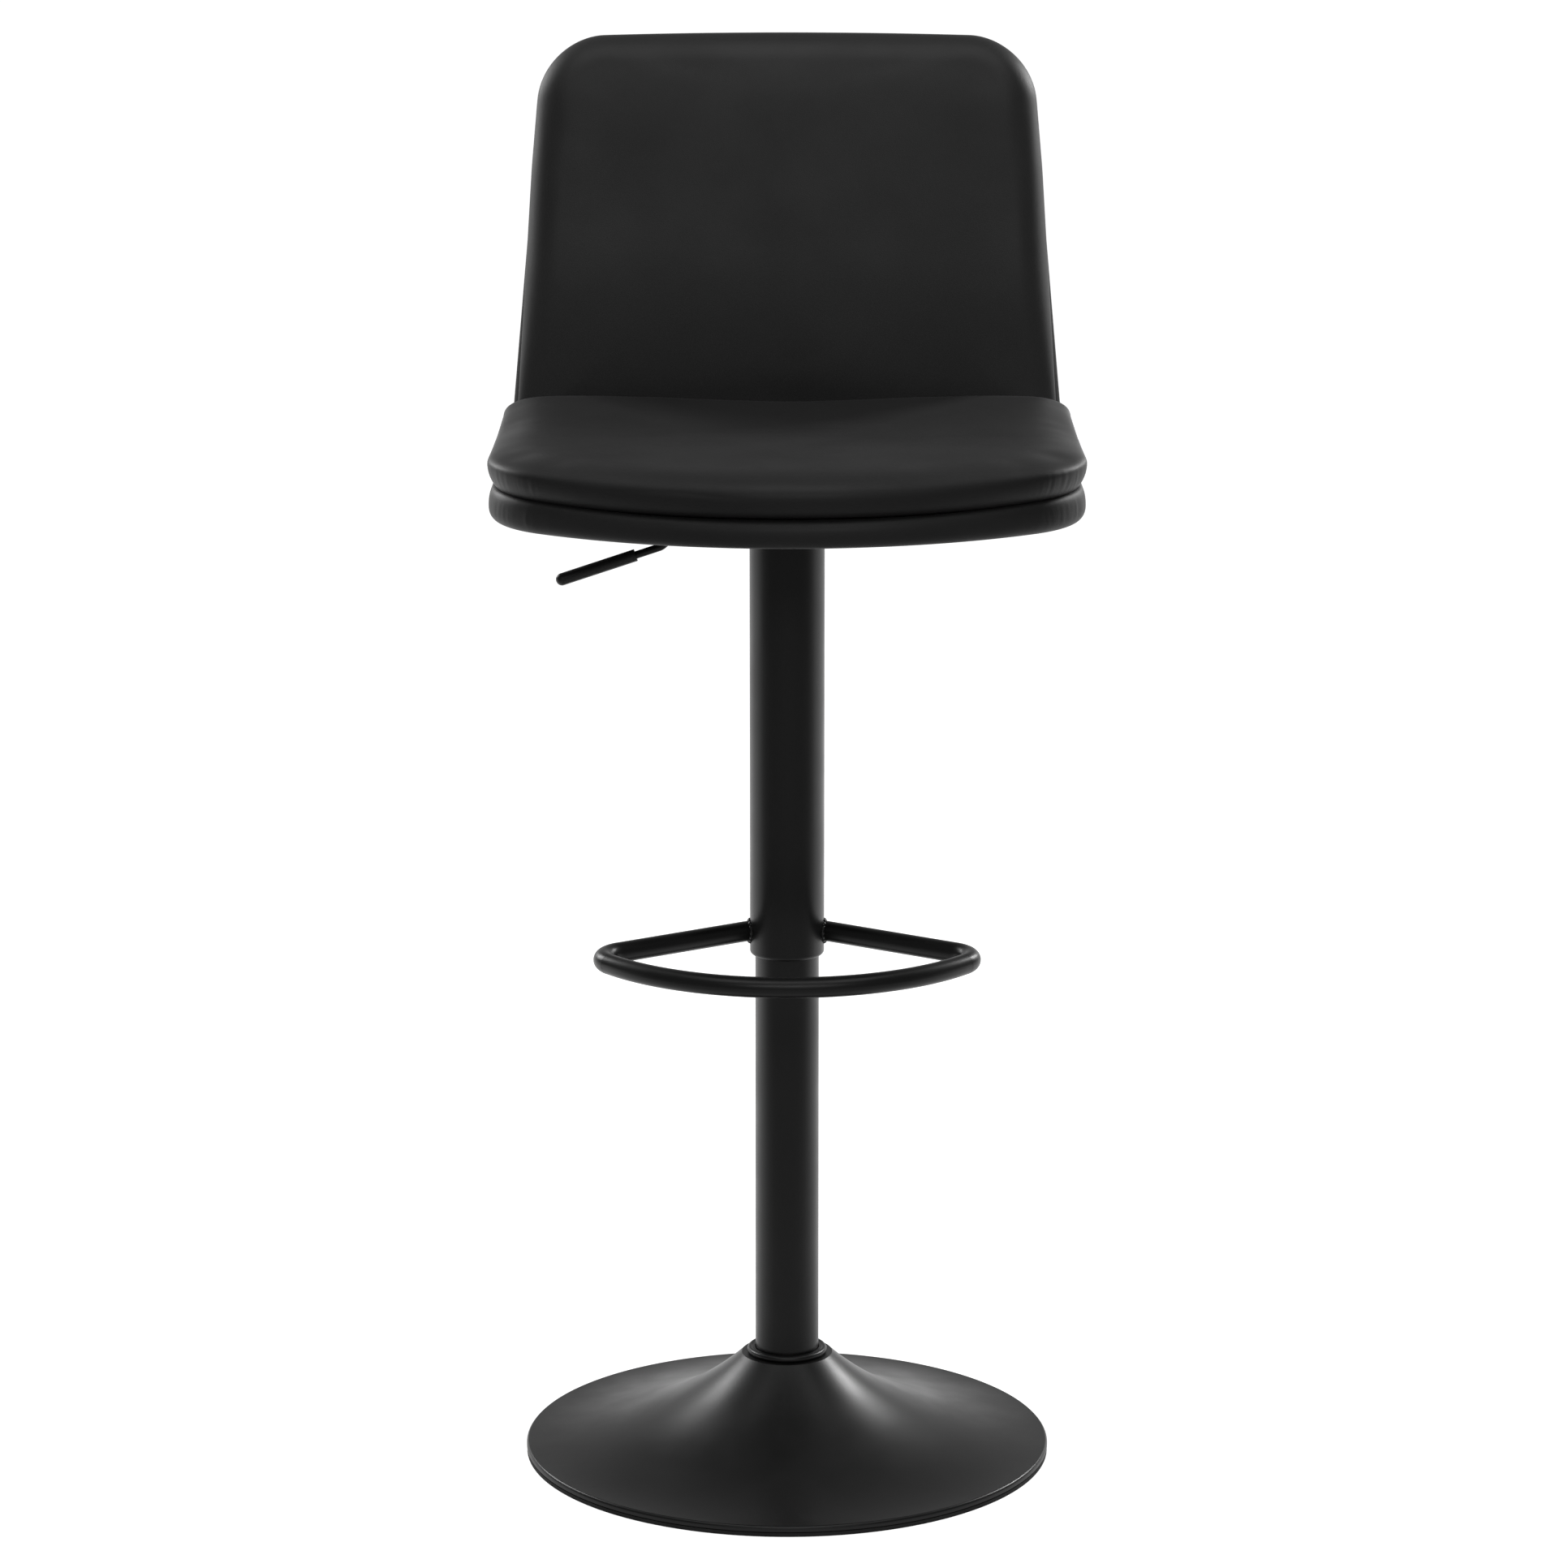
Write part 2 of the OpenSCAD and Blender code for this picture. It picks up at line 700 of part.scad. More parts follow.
module retaining_clip() {
    color(zinc) difference() {
        ring(clip_z, clip_t, clip_d / 2, stud_d / 2 - clip_groove + fit);
        translate([0, -clip_mouth / 2, clip_z - cut])
            cube([clip_d, clip_mouth, clip_t + 2 * cut]);
    }
}

// Gas spring

module piston_rod() {
    color(zinc) difference() {
        union() {
            translate([0, 0, stud_z]) cylinder(h = rod_z - stud_z + cut, d = stud_d);
            translate([0, 0, rod_z]) cylinder(h = piston_z - rod_z, d = rod_d);
            translate([0, 0, piston_z - cut]) cylinder(h = piston_h + 2 * cut, d = stud_d);
        }
        ring(clip_z - fit, clip_t + 2 * fit, stud_d, stud_d / 2 - clip_groove);
    }
}

module piston() {
    color(brass) difference() {
        ring(piston_z, piston_h, cylinder_bore - run, stud_d / 2 + fit);
        ring(piston_z + (piston_h - seal_h) / 2, seal_h, cylinder_r,
            cylinder_bore - seal_depth);
    }
}

module piston_seal() {
    color(rubber)
        ring(piston_z + (piston_h - seal_h) / 2 + fit, seal_h - 2 * fit, cylinder_bore - run,
            cylinder_bore - seal_depth + fit);
}

module gas_cylinder() {
    color(black) difference() {
        union() {
            translate([0, 0, cylinder_z]) cylinder(h = taper_z - cylinder_z, r = cylinder_r);
            translate([0, 0, taper_z])
                cylinder(h = taper_len, r1 = cylinder_r, r2 = taper_end_d / 2);
        }
        translate([0, 0, cylinder_z - cut])
            cylinder(h = taper_z - cylinder_z, r = cylinder_bore);
        translate([0, 0, taper_z - 2 * cut])
            cylinder(h = taper_len + 3 * cut, r = taper_end_d / 2 - cylinder_wall);
    }
}

module cylinder_gland() {
    color(steel) ring(cylinder_z, gland_h, cylinder_bore - fit, rod_d / 2 + run);
}

module valve_body() {
    bore_depth = pin_in + pin_travel + pin_play;
    color(brass) difference() {
        translate([0, 0, cylinder_top - valve_h])
            cylinder(h = valve_h, r = taper_end_d / 2 - cylinder_wall - fit);
        translate([0, 0, cylinder_top - bore_depth])
            cylinder(h = bore_depth + cut, r = pin_d / 2 + run);
    }
}

module release_pin() {
    color(zinc) translate([0, 0, cylinder_top - pin_in]) cylinder(h = pin_in + pin_up, d = pin_d);
}

// Seat mechanism

module taper_socket() {
    slope = (cylinder_r - taper_end_d / 2) / taper_len;
    r_foot = cylinder_r - slope * (socket_z - cut - taper_z) + fit;
    r_head = cylinder_r - slope * (socket_top + cut - taper_z) + fit;
    color(steel) difference() {
        translate([0, 0, socket_z]) cylinder(h = socket_top - socket_z, d = socket_d);
        translate([0, 0, socket_z - cut])
            cylinder(h = socket_top - socket_z + 2 * cut, r1 = r_foot, r2 = r_head);
    }
}

module seat_plate() {
    slot = lever_d + 2 * slot_gap;
    color(black) difference() {
        union() {
            translate([-mech_w / 2, -mech_w / 2, mech_z]) cube([mech_w, mech_w, mech_t]);
            translate([-box_x / 2 - mech_t, -box_y / 2 - mech_t, box_z])
                cube([box_x + 2 * mech_t, box_y + 2 * mech_t, box_h + mech_t / 2]);
        }
        translate([-box_x / 2, -box_y / 2, box_floor]) cube([box_x, box_y, box_h + 2 * cut]);
        translate([0, 0, box_z - cut])
            cylinder(h = mech_t + 2 * cut, r = socket_d / 2 + fit);
        translate([-box_x / 2 - mech_t - cut, -slot / 2, lever_z - slot / 2])
            cube([mech_t + 2 * cut, slot, slot]);
        at_seat_bolts() translate([0, 0, mech_z - cut])
            cylinder(h = mech_t + 2 * cut, r = bolt_d / 2 + hole);
    }
}

module lever_bracket() {
    inner = hub_w / 2 + side_play;
    color(zinc) translate([-pivot_x, 0, 0]) difference() {
        translate([-ear_len / 2, -inner - ear_t, box_floor])
            cube([ear_len, 2 * (inner + ear_t), lever_z + hub_d / 2 - box_floor]);
        translate([-ear_len / 2 - cut, -inner, box_floor + ear_t])
            cube([ear_len + 2 * cut, 2 * inner, lever_z + hub_d]);
        translate([0, 0, lever_z]) rotate([90, 0, 0])
            cylinder(h = 4 * hub_w, r = pivot_d / 2 + fit, center = true);
    }
}

module lever_pivot_pin() {
    reach = hub_w / 2 + side_play + ear_t;
    color(zinc) translate([-pivot_x, 0, lever_z]) rotate([90, 0, 0]) {
        translate([0, 0, -reach]) cylinder(h = 2 * reach + rivet_h, d = pivot_d);
        translate([0, 0, -reach - rivet_h]) cylinder(h = rivet_h, d = pivot_d + 2 * rivet_h);
    }
}

module lever_rod() {
    path = [[lever_tail, lever_z], [-lever_bend_x, lever_z], knee,
        knee + lever_dir * (lever_bare + rod_in_grip)];
    color(black) difference() {
        union() {
            rotate([90, 0, 0]) bent_bar(path, lever_bend, lever_d);
            translate([-pivot_x, 0, lever_z]) rotate([90, 0, 0])
                cylinder(h = hub_w, d = hub_d, center = true);
        }
        translate([-pivot_x, 0, lever_z]) rotate([90, 0, 0])
            cylinder(h = hub_w + 2 * cut, r = pivot_d / 2 + run, center = true);
    }
}

module lever_grip() {
    foot = knee + lever_dir * lever_bare;
    barrel = grip_len - grip_d / 2;
    color(black) translate([foot[0], 0, foot[1]]) rotate([0, -90 - lever_slope, 0]) difference() {
        union() {
            cylinder(h = barrel, d = grip_d);
            translate([0, 0, barrel]) sphere(d = grip_d);
        }
        translate([0, 0, -cut]) cylinder(h = rod_in_grip + cut + fit, r = lever_d / 2 + fit);
    }
}

// Sleeve and footrest

module sleeve_tube() {
    color(black) rotate_extrude() {
        translate([sleeve_bore, sleeve_z + sleeve_roll])
            square([sleeve_wall, sleeve_len - sleeve_roll]);
        intersection() {
            translate([sleeve_r - sleeve_roll, sleeve_z + sleeve_roll]) difference() {
                circle(r = sleeve_roll);
                circle(r = sleeve_roll - sleeve_wall);
            }
            translate([sleeve_r - sleeve_roll, sleeve_z]) square(sleeve_roll);
        }
    }
}

module sleeve_glide_ring() {
    color(nylon)
        ring(sleeve_z + sleeve_roll, glide_h, sleeve_bore - fit, column_r + run);
}

module arm_section(start, length, r_out, r_in) {
    for (side = [0, 1]) mirror([side, 0, 0])
        translate(arm_side * arm_off + arm_dir * start)
            rotate([0, 90, -bar_angle]) difference() {
                cylinder(h = length, r = r_out);
                if (r_in > 0) translate([0, 0, -cut]) cylinder(h = length + 2 * cut, r = r_in);
            }
}

module bar_profile(proud) {
    difference() {
        circle(r = bar_d / 2 + proud);
        circle(r = bar_d / 2 - bar_wall - proud);
    }
}

module footrest_bar() {
    lap_angle = asin(lap / bar_reach);
    color(black) translate([0, 0, bar_z]) difference() {
        union() {
            arm_section(arm_start, bend_along + lap - arm_start, bar_d / 2, bar_d / 2 - bar_wall);
            for (side = [0, 1]) mirror([side, 0, 0])
                translate(bend_c) rotate([0, 0, bend_start])
                    rotate_extrude(angle = 90 - bar_angle - bend_start)
                        translate([bar_bend, 0]) bar_profile(swell);
            rotate([0, 0, 180 - bend_start - lap_angle])
                rotate_extrude(angle = 180 + 2 * (bend_start + lap_angle))
                    translate([bar_reach, 0]) bar_profile(0);
        }
        cylinder(h = 2 * bar_d, r = sleeve_r, center = true);
    }
}

module footrest_welds() {
    color(black) translate([0, 0, bar_z]) intersection() {
        arm_section(arm_start, sleeve_r, bar_d / 2 + weld, bar_d / 2);
        ring(-bar_d, 2 * bar_d, sleeve_r + weld, sleeve_r);
    }
}

// Seat

module seat_board() {
    color(plywood) difference() {
        translate([0, 0, board_z])
            linear_extrude(board_t - soft) polygon(seat_outline(pan_wrap + soft));
        at_seat_bolts() translate([0, 0, board_z - cut])
            cylinder(h = board_t + 2 * cut, r = seat_barrel_r + fit);
        at_seat_bolts() translate([0, 0, pan_top - soft - washer_t - fit])
            cylinder(h = washer_t + 2 * cut, r = seat_tee_r + fit);
        at_seat_screws() translate([0, 0, board_z - cut])
            cylinder(h = board_t - screw_cover + cut + fit, r = screw_d / 2 + fit);
    }
}

module seat_pan() {
    color(leather) difference() {
        padded_slab(pan_z, pan_t, pan_roll, pan_shoulder * pan_wrap, pan_t / 2);
        translate([0, 0, board_z]) linear_extrude(board_t + cut) polygon(seat_outline(pan_wrap));
        translate([0, 0, pan_z - cut])
            linear_extrude(pan_t) polygon(seat_outline(pan_border));
        translate([-strap_w / 2 - soft, 0, pan_z - cut])
            cube([strap_w + 2 * soft, back_y, board_z - pan_z + cut]);
    }
}

module seat_cushion() {
    h = cushion_t - soft;
    color(leather)
        padded_slab(pan_top + soft, h, cushion_tuck, cushion_roll, h * cushion_belly);
}

module underside_cloth() {
    plate = mech_w / 2 + cloth_gap;
    strap = strap_w / 2 + cloth_gap;
    color(rubber) translate([0, 0, board_z - cloth_t]) difference() {
        linear_extrude(cloth_t) polygon(seat_outline(pan_border + soft));
        translate([-plate, -plate, -cut]) cube([2 * plate, 2 * plate, cloth_t + 2 * cut]);
        translate([-strap, 0, -cut]) cube([2 * strap, back_y, cloth_t + 2 * cut]);
    }
}

module seat_bolts() {
    color(zinc) at_seat_bolts() translate([0, 0, mech_z - washer_t])
        hex_bolt(bolt_d, mech_t + board_t);
}

module seat_washers() {
    color(zinc) at_seat_bolts() ring(mech_z - washer_t, washer_t, bolt_d, bolt_d / 2 + fit);
}

module tee_nuts() {
    top = pan_top - soft;
    color(zinc) at_seat_bolts() {
        ring(board_z + fit, top - board_z - fit, seat_barrel_r, bolt_d / 2 + fit);
        ring(top - washer_t, washer_t, seat_tee_r, bolt_d / 2 + fit);
    }
}

// Back

module back_bracket() {
    front = back_y + (back_board_t + soft) / cos(back_tilt);
    color(black) difference() {
        union() {
            translate([-strap_w / 2, strap_start, strap_z])
                cube([strap_w, front + strap_t / 2 - strap_start, strap_t]);
            on_back() translate([-strap_w / 2, back_board_t + soft, -strap_t])
                cube([strap_w, strap_t, strap_rise + strap_t]);
        }
        at_seat_screws() translate([0, 0, strap_z - cut])
            cylinder(h = strap_t + 2 * cut, r = screw_d / 2 + hole);
        on_back() at_back_screws() rotate([-90, 0, 0])
            cylinder(h = back_board_t + strap_t + 2 * cut, r = screw_d / 2 + hole);
    }
}

module seat_screws() {
    color(zinc) at_seat_screws() translate([0, 0, strap_z]) {
        translate([0, 0, -screw_head_h]) cylinder(h = screw_head_h, d = 2 * screw_d);
        cylinder(h = strap_t + board_t - screw_cover, d = screw_d);
    }
}

module back_screws() {
    seat = back_board_t + soft + strap_t;
    color(zinc) on_back() at_back_screws() translate([0, seat, 0]) rotate([90, 0, 0]) {
        translate([0, 0, -screw_head_h]) cylinder(h = screw_head_h, d = 2 * screw_d);
        cylinder(h = strap_t + back_board_t - screw_cover, d = screw_d);
    }
}

// Half width of the back at height s, with its corners rounded
function back_half(s) = let (
    w = back_foot_w + (back_top_w - back_foot_w) * s / back_h,
    up = max(0, s - back_h + back_corner),
    down = max(0, back_heel - shell_drop - s))
    w - back_corner + sqrt(max(0, back_corner * back_corner - up * up))
    - back_heel + sqrt(max(0, back_heel * back_heel - down * down));
// Share of the full thickness at distance d from the edge
function rolled(d, roll) = d >= roll ? 1 : sqrt(1 - pow(1 - d / roll, 2));
// Point of the back's curved frame: x along the joint, o behind it, s up it
function on_arc(x, o, s) = let (a = asin(x / back_r))
    [(back_r + o) * sin(a), (back_r + o) * cos(a) - back_r,
        s - back_crown * pow(x / back_top_w, 2) * s / back_h];

function across_at(i) = sin(90 * i / across);
function up_at(j) = (1 - cos(180 * j / upward)) / 2;

// Curved pad between two depths; the skin on the side of sign rolls over at the edges
module curved_pad(foot, inset, thick, rim, roll, side) {
    cols = 2 * across + 1;
    function edge(x, s) = min(back_half(s) - inset - abs(x), s - foot, back_h - s);
    function skin(i, j) = let (
        s = foot + (back_h - foot) * up_at(j),
        x = across_at(i) * (back_half(s) - inset))
        on_arc(x, side * (rim + (thick - rim) * rolled(max(0, edge(x, s)), roll)), s);
    function flat(i, j) = let (
        s = foot + (back_h - foot) * up_at(j),
        x = across_at(i) * (back_half(s) - inset))
        on_arc(x, side * soft / 2, s);
    points = concat(
        [for (j = [0:upward]) for (i = [-across:across]) skin(i, j)],
        [for (j = [0:upward]) for (i = [-across:across]) flat(i, j)]);
    far = cols * (upward + 1);
    quads = concat(
        [for (j = [0:upward - 1]) for (i = [0:cols - 2]) let (a = j * cols + i)
            [a, a + 1, a + cols + 1, a + cols]],
        [for (j = [0:upward - 1]) for (i = [0:cols - 2]) let (a = far + j * cols + i)
            [a, a + cols, a + cols + 1, a + 1]],
        [for (i = [0:cols - 2]) [i, far + i, far + i + 1, i + 1]],
        [for (i = [0:cols - 2]) let (a = upward * cols + i) [a, a + 1, far + a + 1, far + a]],
        [for (j = [0:upward - 1]) let (a = j * cols) [a, a + cols, far + a + cols, far + a]],
        [for (j = [0:upward - 1]) let (a = j * cols + cols - 1)
            [a, far + a, far + a + cols, a + cols]]);
    faces = [for (q = quads) each side > 0
        ? [[q[0], q[1], q[2]], [q[0], q[2], q[3]]]
        : [[q[2], q[1], q[0]], [q[3], q[2], q[0]]]];
    polyhedron(points, faces, convexity = 6);
}

// Curved board of thickness t behind the joint, inset from the edge of the back
module board_blank(inset, first, last) {
    intersection() {
        translate([0, -back_r, 0])
            ring(-cut, back_h + 2 * cut, back_r + last, back_r + first, $fn = fine);
        rotate([90, 0, 0]) translate([0, 0, -last - cut])
            linear_extrude(last + back_sag + 3 * cut) polygon(board_outline(inset));
    }
}

function board_outline(d) = let (
    w0 = back_foot_w - d,
    w1 = back_top_w - d,
    r = back_corner - d,
    top = back_h - back_crown - d,
    half = concat([[w0, d / 2]], arc_points([w1 - r, top - r], r, 0, 90, 8)))
    concat(half, mirrored(half));

module back_board() {
    color(plywood) on_back() difference() {
        board_blank(back_board_inset, soft, back_board_t);
        at_back_screws() rotate([-90, 0, 0])
            cylinder(h = back_board_t + cut, r = screw_d / 2 + fit);
    }
}

module back_cushion() {
    color(leather) on_back()
        curved_pad(pad_foot, pad_inset, pad_t, pad_rim, pad_roll, -1);
}

module back_shell() {
    tunnel = strap_w + 2 * soft;
    color(leather) on_back() difference() {
        curved_pad(-shell_drop, 0, shell_pad_t, shell_pad_rim, shell_pad_roll, 1);
        board_blank(back_board_inset - soft, -soft, back_board_t + soft);
        translate([-tunnel / 2, -cut, -2 * shell_drop])
            cube([tunnel, pocket_depth + cut, strap_rise + 2 * shell_drop + soft]);
    }
}

floor_ring();
base_shell();
base_plate();
weld_nuts();
column_flange();
flange_bolts();
flange_washers();
column_tube();
column_plug();
column_collar();
guide_bush();
lower_race();
bearing_cage();
bearing_balls();
upper_race();
rubber_buffer();
retaining_clip();
piston_rod();
piston();
piston_seal();
gas_cylinder();
cylinder_gland();
valve_body();
release_pin();
taper_socket();
seat_plate();
lever_bracket();
lever_pivot_pin();
lever_rod();
lever_grip();
sleeve_tube();
sleeve_glide_ring();
footrest_bar();
footrest_welds();
seat_board();
seat_pan();
seat_cushion();
underside_cloth();
seat_bolts();
seat_washers();
tee_nuts();
back_bracket();
seat_screws();
back_screws();
back_board();
back_cushion();
back_shell();
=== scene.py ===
# %% [markdown]
# This script dresses a packed bar stool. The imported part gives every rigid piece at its
# real size, so most of the steel keeps its shape and gets a finish. The upholstery is a
# plain stand-in there, so each pad is made again here, as foam under a sewn skin.

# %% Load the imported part
import json
import math

import bmesh
import bpy
import numpy as np
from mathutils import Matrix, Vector, kdtree, noise


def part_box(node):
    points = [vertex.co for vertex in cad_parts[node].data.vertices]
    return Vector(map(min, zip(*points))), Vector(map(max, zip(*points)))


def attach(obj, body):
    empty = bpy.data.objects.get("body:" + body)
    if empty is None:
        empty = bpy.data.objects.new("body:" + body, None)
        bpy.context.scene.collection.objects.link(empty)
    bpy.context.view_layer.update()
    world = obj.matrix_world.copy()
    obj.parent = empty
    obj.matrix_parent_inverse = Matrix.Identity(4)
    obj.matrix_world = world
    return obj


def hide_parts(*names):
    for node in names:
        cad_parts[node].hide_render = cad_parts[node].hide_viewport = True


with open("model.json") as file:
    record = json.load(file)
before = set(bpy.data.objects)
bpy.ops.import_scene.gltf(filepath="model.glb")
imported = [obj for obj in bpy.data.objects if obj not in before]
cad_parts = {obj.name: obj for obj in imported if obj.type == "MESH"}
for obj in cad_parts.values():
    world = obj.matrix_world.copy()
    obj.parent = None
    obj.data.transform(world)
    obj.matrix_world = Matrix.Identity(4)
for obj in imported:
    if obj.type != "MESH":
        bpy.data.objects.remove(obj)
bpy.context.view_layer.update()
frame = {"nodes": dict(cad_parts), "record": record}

nodes = frame["nodes"]

# %% [markdown]
# A long lens from well above the seat keeps the column's sides nearly parallel. The camera's
# height, distance and tilt set how round the base looks and how much of the seat's top shows.

# %% Camera
CAMERA_BACK = 4.5
CAMERA_UP = 1.6105
CAMERA_ASIDE = -0.0024
CAMERA_DOWN = math.radians(13.332)
SENSOR = 36.0
LENS = 136.2

view = bpy.data.cameras.new("camera")
view.sensor_width = SENSOR
view.lens = LENS
view.clip_end = 50
camera = bpy.data.objects.new("camera", view)
camera.location = (CAMERA_ASIDE, -CAMERA_BACK, CAMERA_UP)
camera.rotation_euler = (math.pi / 2 - CAMERA_DOWN, 0, 0)
bpy.context.scene.collection.objects.link(camera)
bpy.context.scene.camera = camera
print("camera %.2f m away, %.1f degrees down" % (CAMERA_BACK, math.degrees(CAMERA_DOWN)))


# %% [markdown]
# Black leather and black steel have almost no colour of their own, so their shape is read
# from reflections. Soft lamps at both sides, a little behind the stool, draw the bright
# edges. A large lamp above fills the top, and a wide one in front lifts the back's face.

# %% Lamps
def lamp(name, at, to, size, watts):
    light = bpy.data.lights.new(name, "AREA")
    light.shape = "RECTANGLE"
    light.size, light.size_y = size
    light.energy = watts
    obj = bpy.data.objects.new(name, light)
    obj.location = at
    aim = Vector(to) - Vector(at)
    obj.rotation_euler = aim.to_track_quat("-Z", "Y").to_euler()
    bpy.context.scene.collection.objects.link(obj)
    return obj


STOOL_MIDDLE = (0, 0, 0.6)
lamp("left_box", (-1.9, 1.7, 1.6), STOOL_MIDDLE, (1.0, 0.9), 26)
lamp("right_box", (1.9, 1.75, 1.65), STOOL_MIDDLE, (0.6, 0.7), 34)
lamp("top_box", (0, -0.5, 3.4), STOOL_MIDDLE, (3.2, 2.4), 32)
lamp("face_box", (0.2, -4.0, 2.6), (0, 0, 0.9), (3.0, 0.7), 26)


# %% [markdown]
# The paper sweep shows as plain white. Light Path tells a shader which kind of ray has hit
# it, so the paper can be white to the camera and in reflections while it adds no light of
# its own to the stool. In reflections it fades towards the front, as a lit backdrop does.

# %% Helpers for the floor and the surroundings
def maths(tree, operation, a, b):
    """A Math node; a and b are sockets or numbers."""
    node = tree.nodes.new("ShaderNodeMath")
    node.operation = operation
    for value, socket in zip((a, b), node.inputs):
        if isinstance(value, (int, float)):
            socket.default_value = value
        else:
            tree.links.new(value, socket)
    return node.outputs[0]


def graded(tree, value, start, end, low, high, curve="SMOOTHSTEP"):
    """Goes from low to high as the value goes from start to end, in a smooth step or a line."""
    node = tree.nodes.new("ShaderNodeMapRange")
    node.interpolation_type = curve
    labels = ("From Min", "From Max", "To Min", "To Max")
    for label, number in zip(labels, (start, end, low, high)):
        node.inputs[label].default_value = number
    tree.links.new(value, node.inputs["Value"])
    return node.outputs["Result"]


def apart(tree, kind):
    """The x, y and z of a texture coordinate."""
    where = tree.nodes.new("ShaderNodeTexCoord")
    split = tree.nodes.new("ShaderNodeSeparateXYZ")
    tree.links.new(where.outputs[kind], split.inputs[0])
    return split.outputs


def shows_white(tree, level):
    """1 for a ray from the camera; the given level for a reflected or refracted ray."""
    path = tree.nodes.new("ShaderNodeLightPath")
    mirrored = maths(tree, "MAXIMUM", path.outputs["Is Glossy Ray"],
                     path.outputs["Is Transmission Ray"])
    return maths(tree, "MAXIMUM", path.outputs["Is Camera Ray"],
                 maths(tree, "MULTIPLY", mirrored, level))


# %% [markdown]
# The paper is a grey surface that catches the stool's shadow, plus a glow that only the
# camera and reflections see. Near the stool the glow is a little weaker, which is painted
# shade round the stool. The surroundings are white to the camera. In reflections they
# are brightest behind the stool and near the floor, and elsewhere a dim even light is left.

# %% Floor and surroundings
PAPER_GREY = 0.45
PAINTED_SHADE_GLOW = 0.90
MIRRORED_IN_FRONT = 0.08
MIRRORED_OVERHEAD = 0.25
AMBIENT = 0.12

bpy.ops.mesh.primitive_plane_add(size=60)
floor = bpy.context.object
floor.name = "floor"
paper = bpy.data.materials.new("floor_paper")
paper.use_nodes = True
tree = paper.node_tree
tree.nodes.clear()
out = tree.nodes.new("ShaderNodeOutputMaterial")
diffuse = tree.nodes.new("ShaderNodeBsdfDiffuse")
diffuse.inputs["Color"].default_value = (PAPER_GREY, PAPER_GREY, PAPER_GREY, 1)
glow = tree.nodes.new("ShaderNodeEmission")
place = apart(tree, "Object")
depth = graded(tree, place[1], -0.6, 0.4, MIRRORED_IN_FRONT, 1.0)
squares = [maths(tree, "POWER", place[k], 2.0) for k in (0, 1)]
away = maths(tree, "SQRT", maths(tree, "ADD", *squares), 0.0)
# Painted shade: the glow is 0.9 near the stool's axis and reaches full white 1.2 m away.
glow_with_painted_shade = graded(tree, away, 0.3, 1.2, PAINTED_SHADE_GLOW, 1.0)
strength = maths(tree, "MULTIPLY", shows_white(tree, depth), glow_with_painted_shade)
tree.links.new(strength, glow.inputs["Strength"])
both = tree.nodes.new("ShaderNodeAddShader")
tree.links.new(diffuse.outputs[0], both.inputs[0])
tree.links.new(glow.outputs[0], both.inputs[1])
tree.links.new(both.outputs[0], out.inputs["Surface"])
floor.data.materials.append(paper)

world = bpy.data.worlds.new("studio")
bpy.context.scene.world = world
world.use_nodes = True
tree = world.node_tree
direction = apart(tree, "Generated")
behind = graded(tree, direction[1], 0.35, 0.95, 0.0, 1.0)
near_floor = graded(tree, direction[2], 0.03, 0.38, 1.0, MIRRORED_OVERHEAD)
spread = maths(tree, "MULTIPLY", behind, near_floor)
sky = tree.nodes["Background"]
sky.inputs["Color"].default_value = (1, 1, 1, 1)
strength = maths(tree, "MAXIMUM", shows_white(tree, spread), AMBIENT)
tree.links.new(strength, sky.inputs["Strength"])

bpy.context.scene.view_settings.view_transform = "Standard"
print("lamps: 4, ambient %.2f" % AMBIENT)


# %% [markdown]
# Each finish is a small node tree on the Principled shader. A helper wires the parts that
# all of them share, so that a finish is only its colours, its roughness and its bump. All
# patterns read Object coordinates, so they keep their real size on every piece. Noise seldom
# leaves the span from 0.3 to 0.7, so the colours and the roughness are spread over that.

# %% Helper for finishes
NOISE_SPAN = (0.3, 0.7)


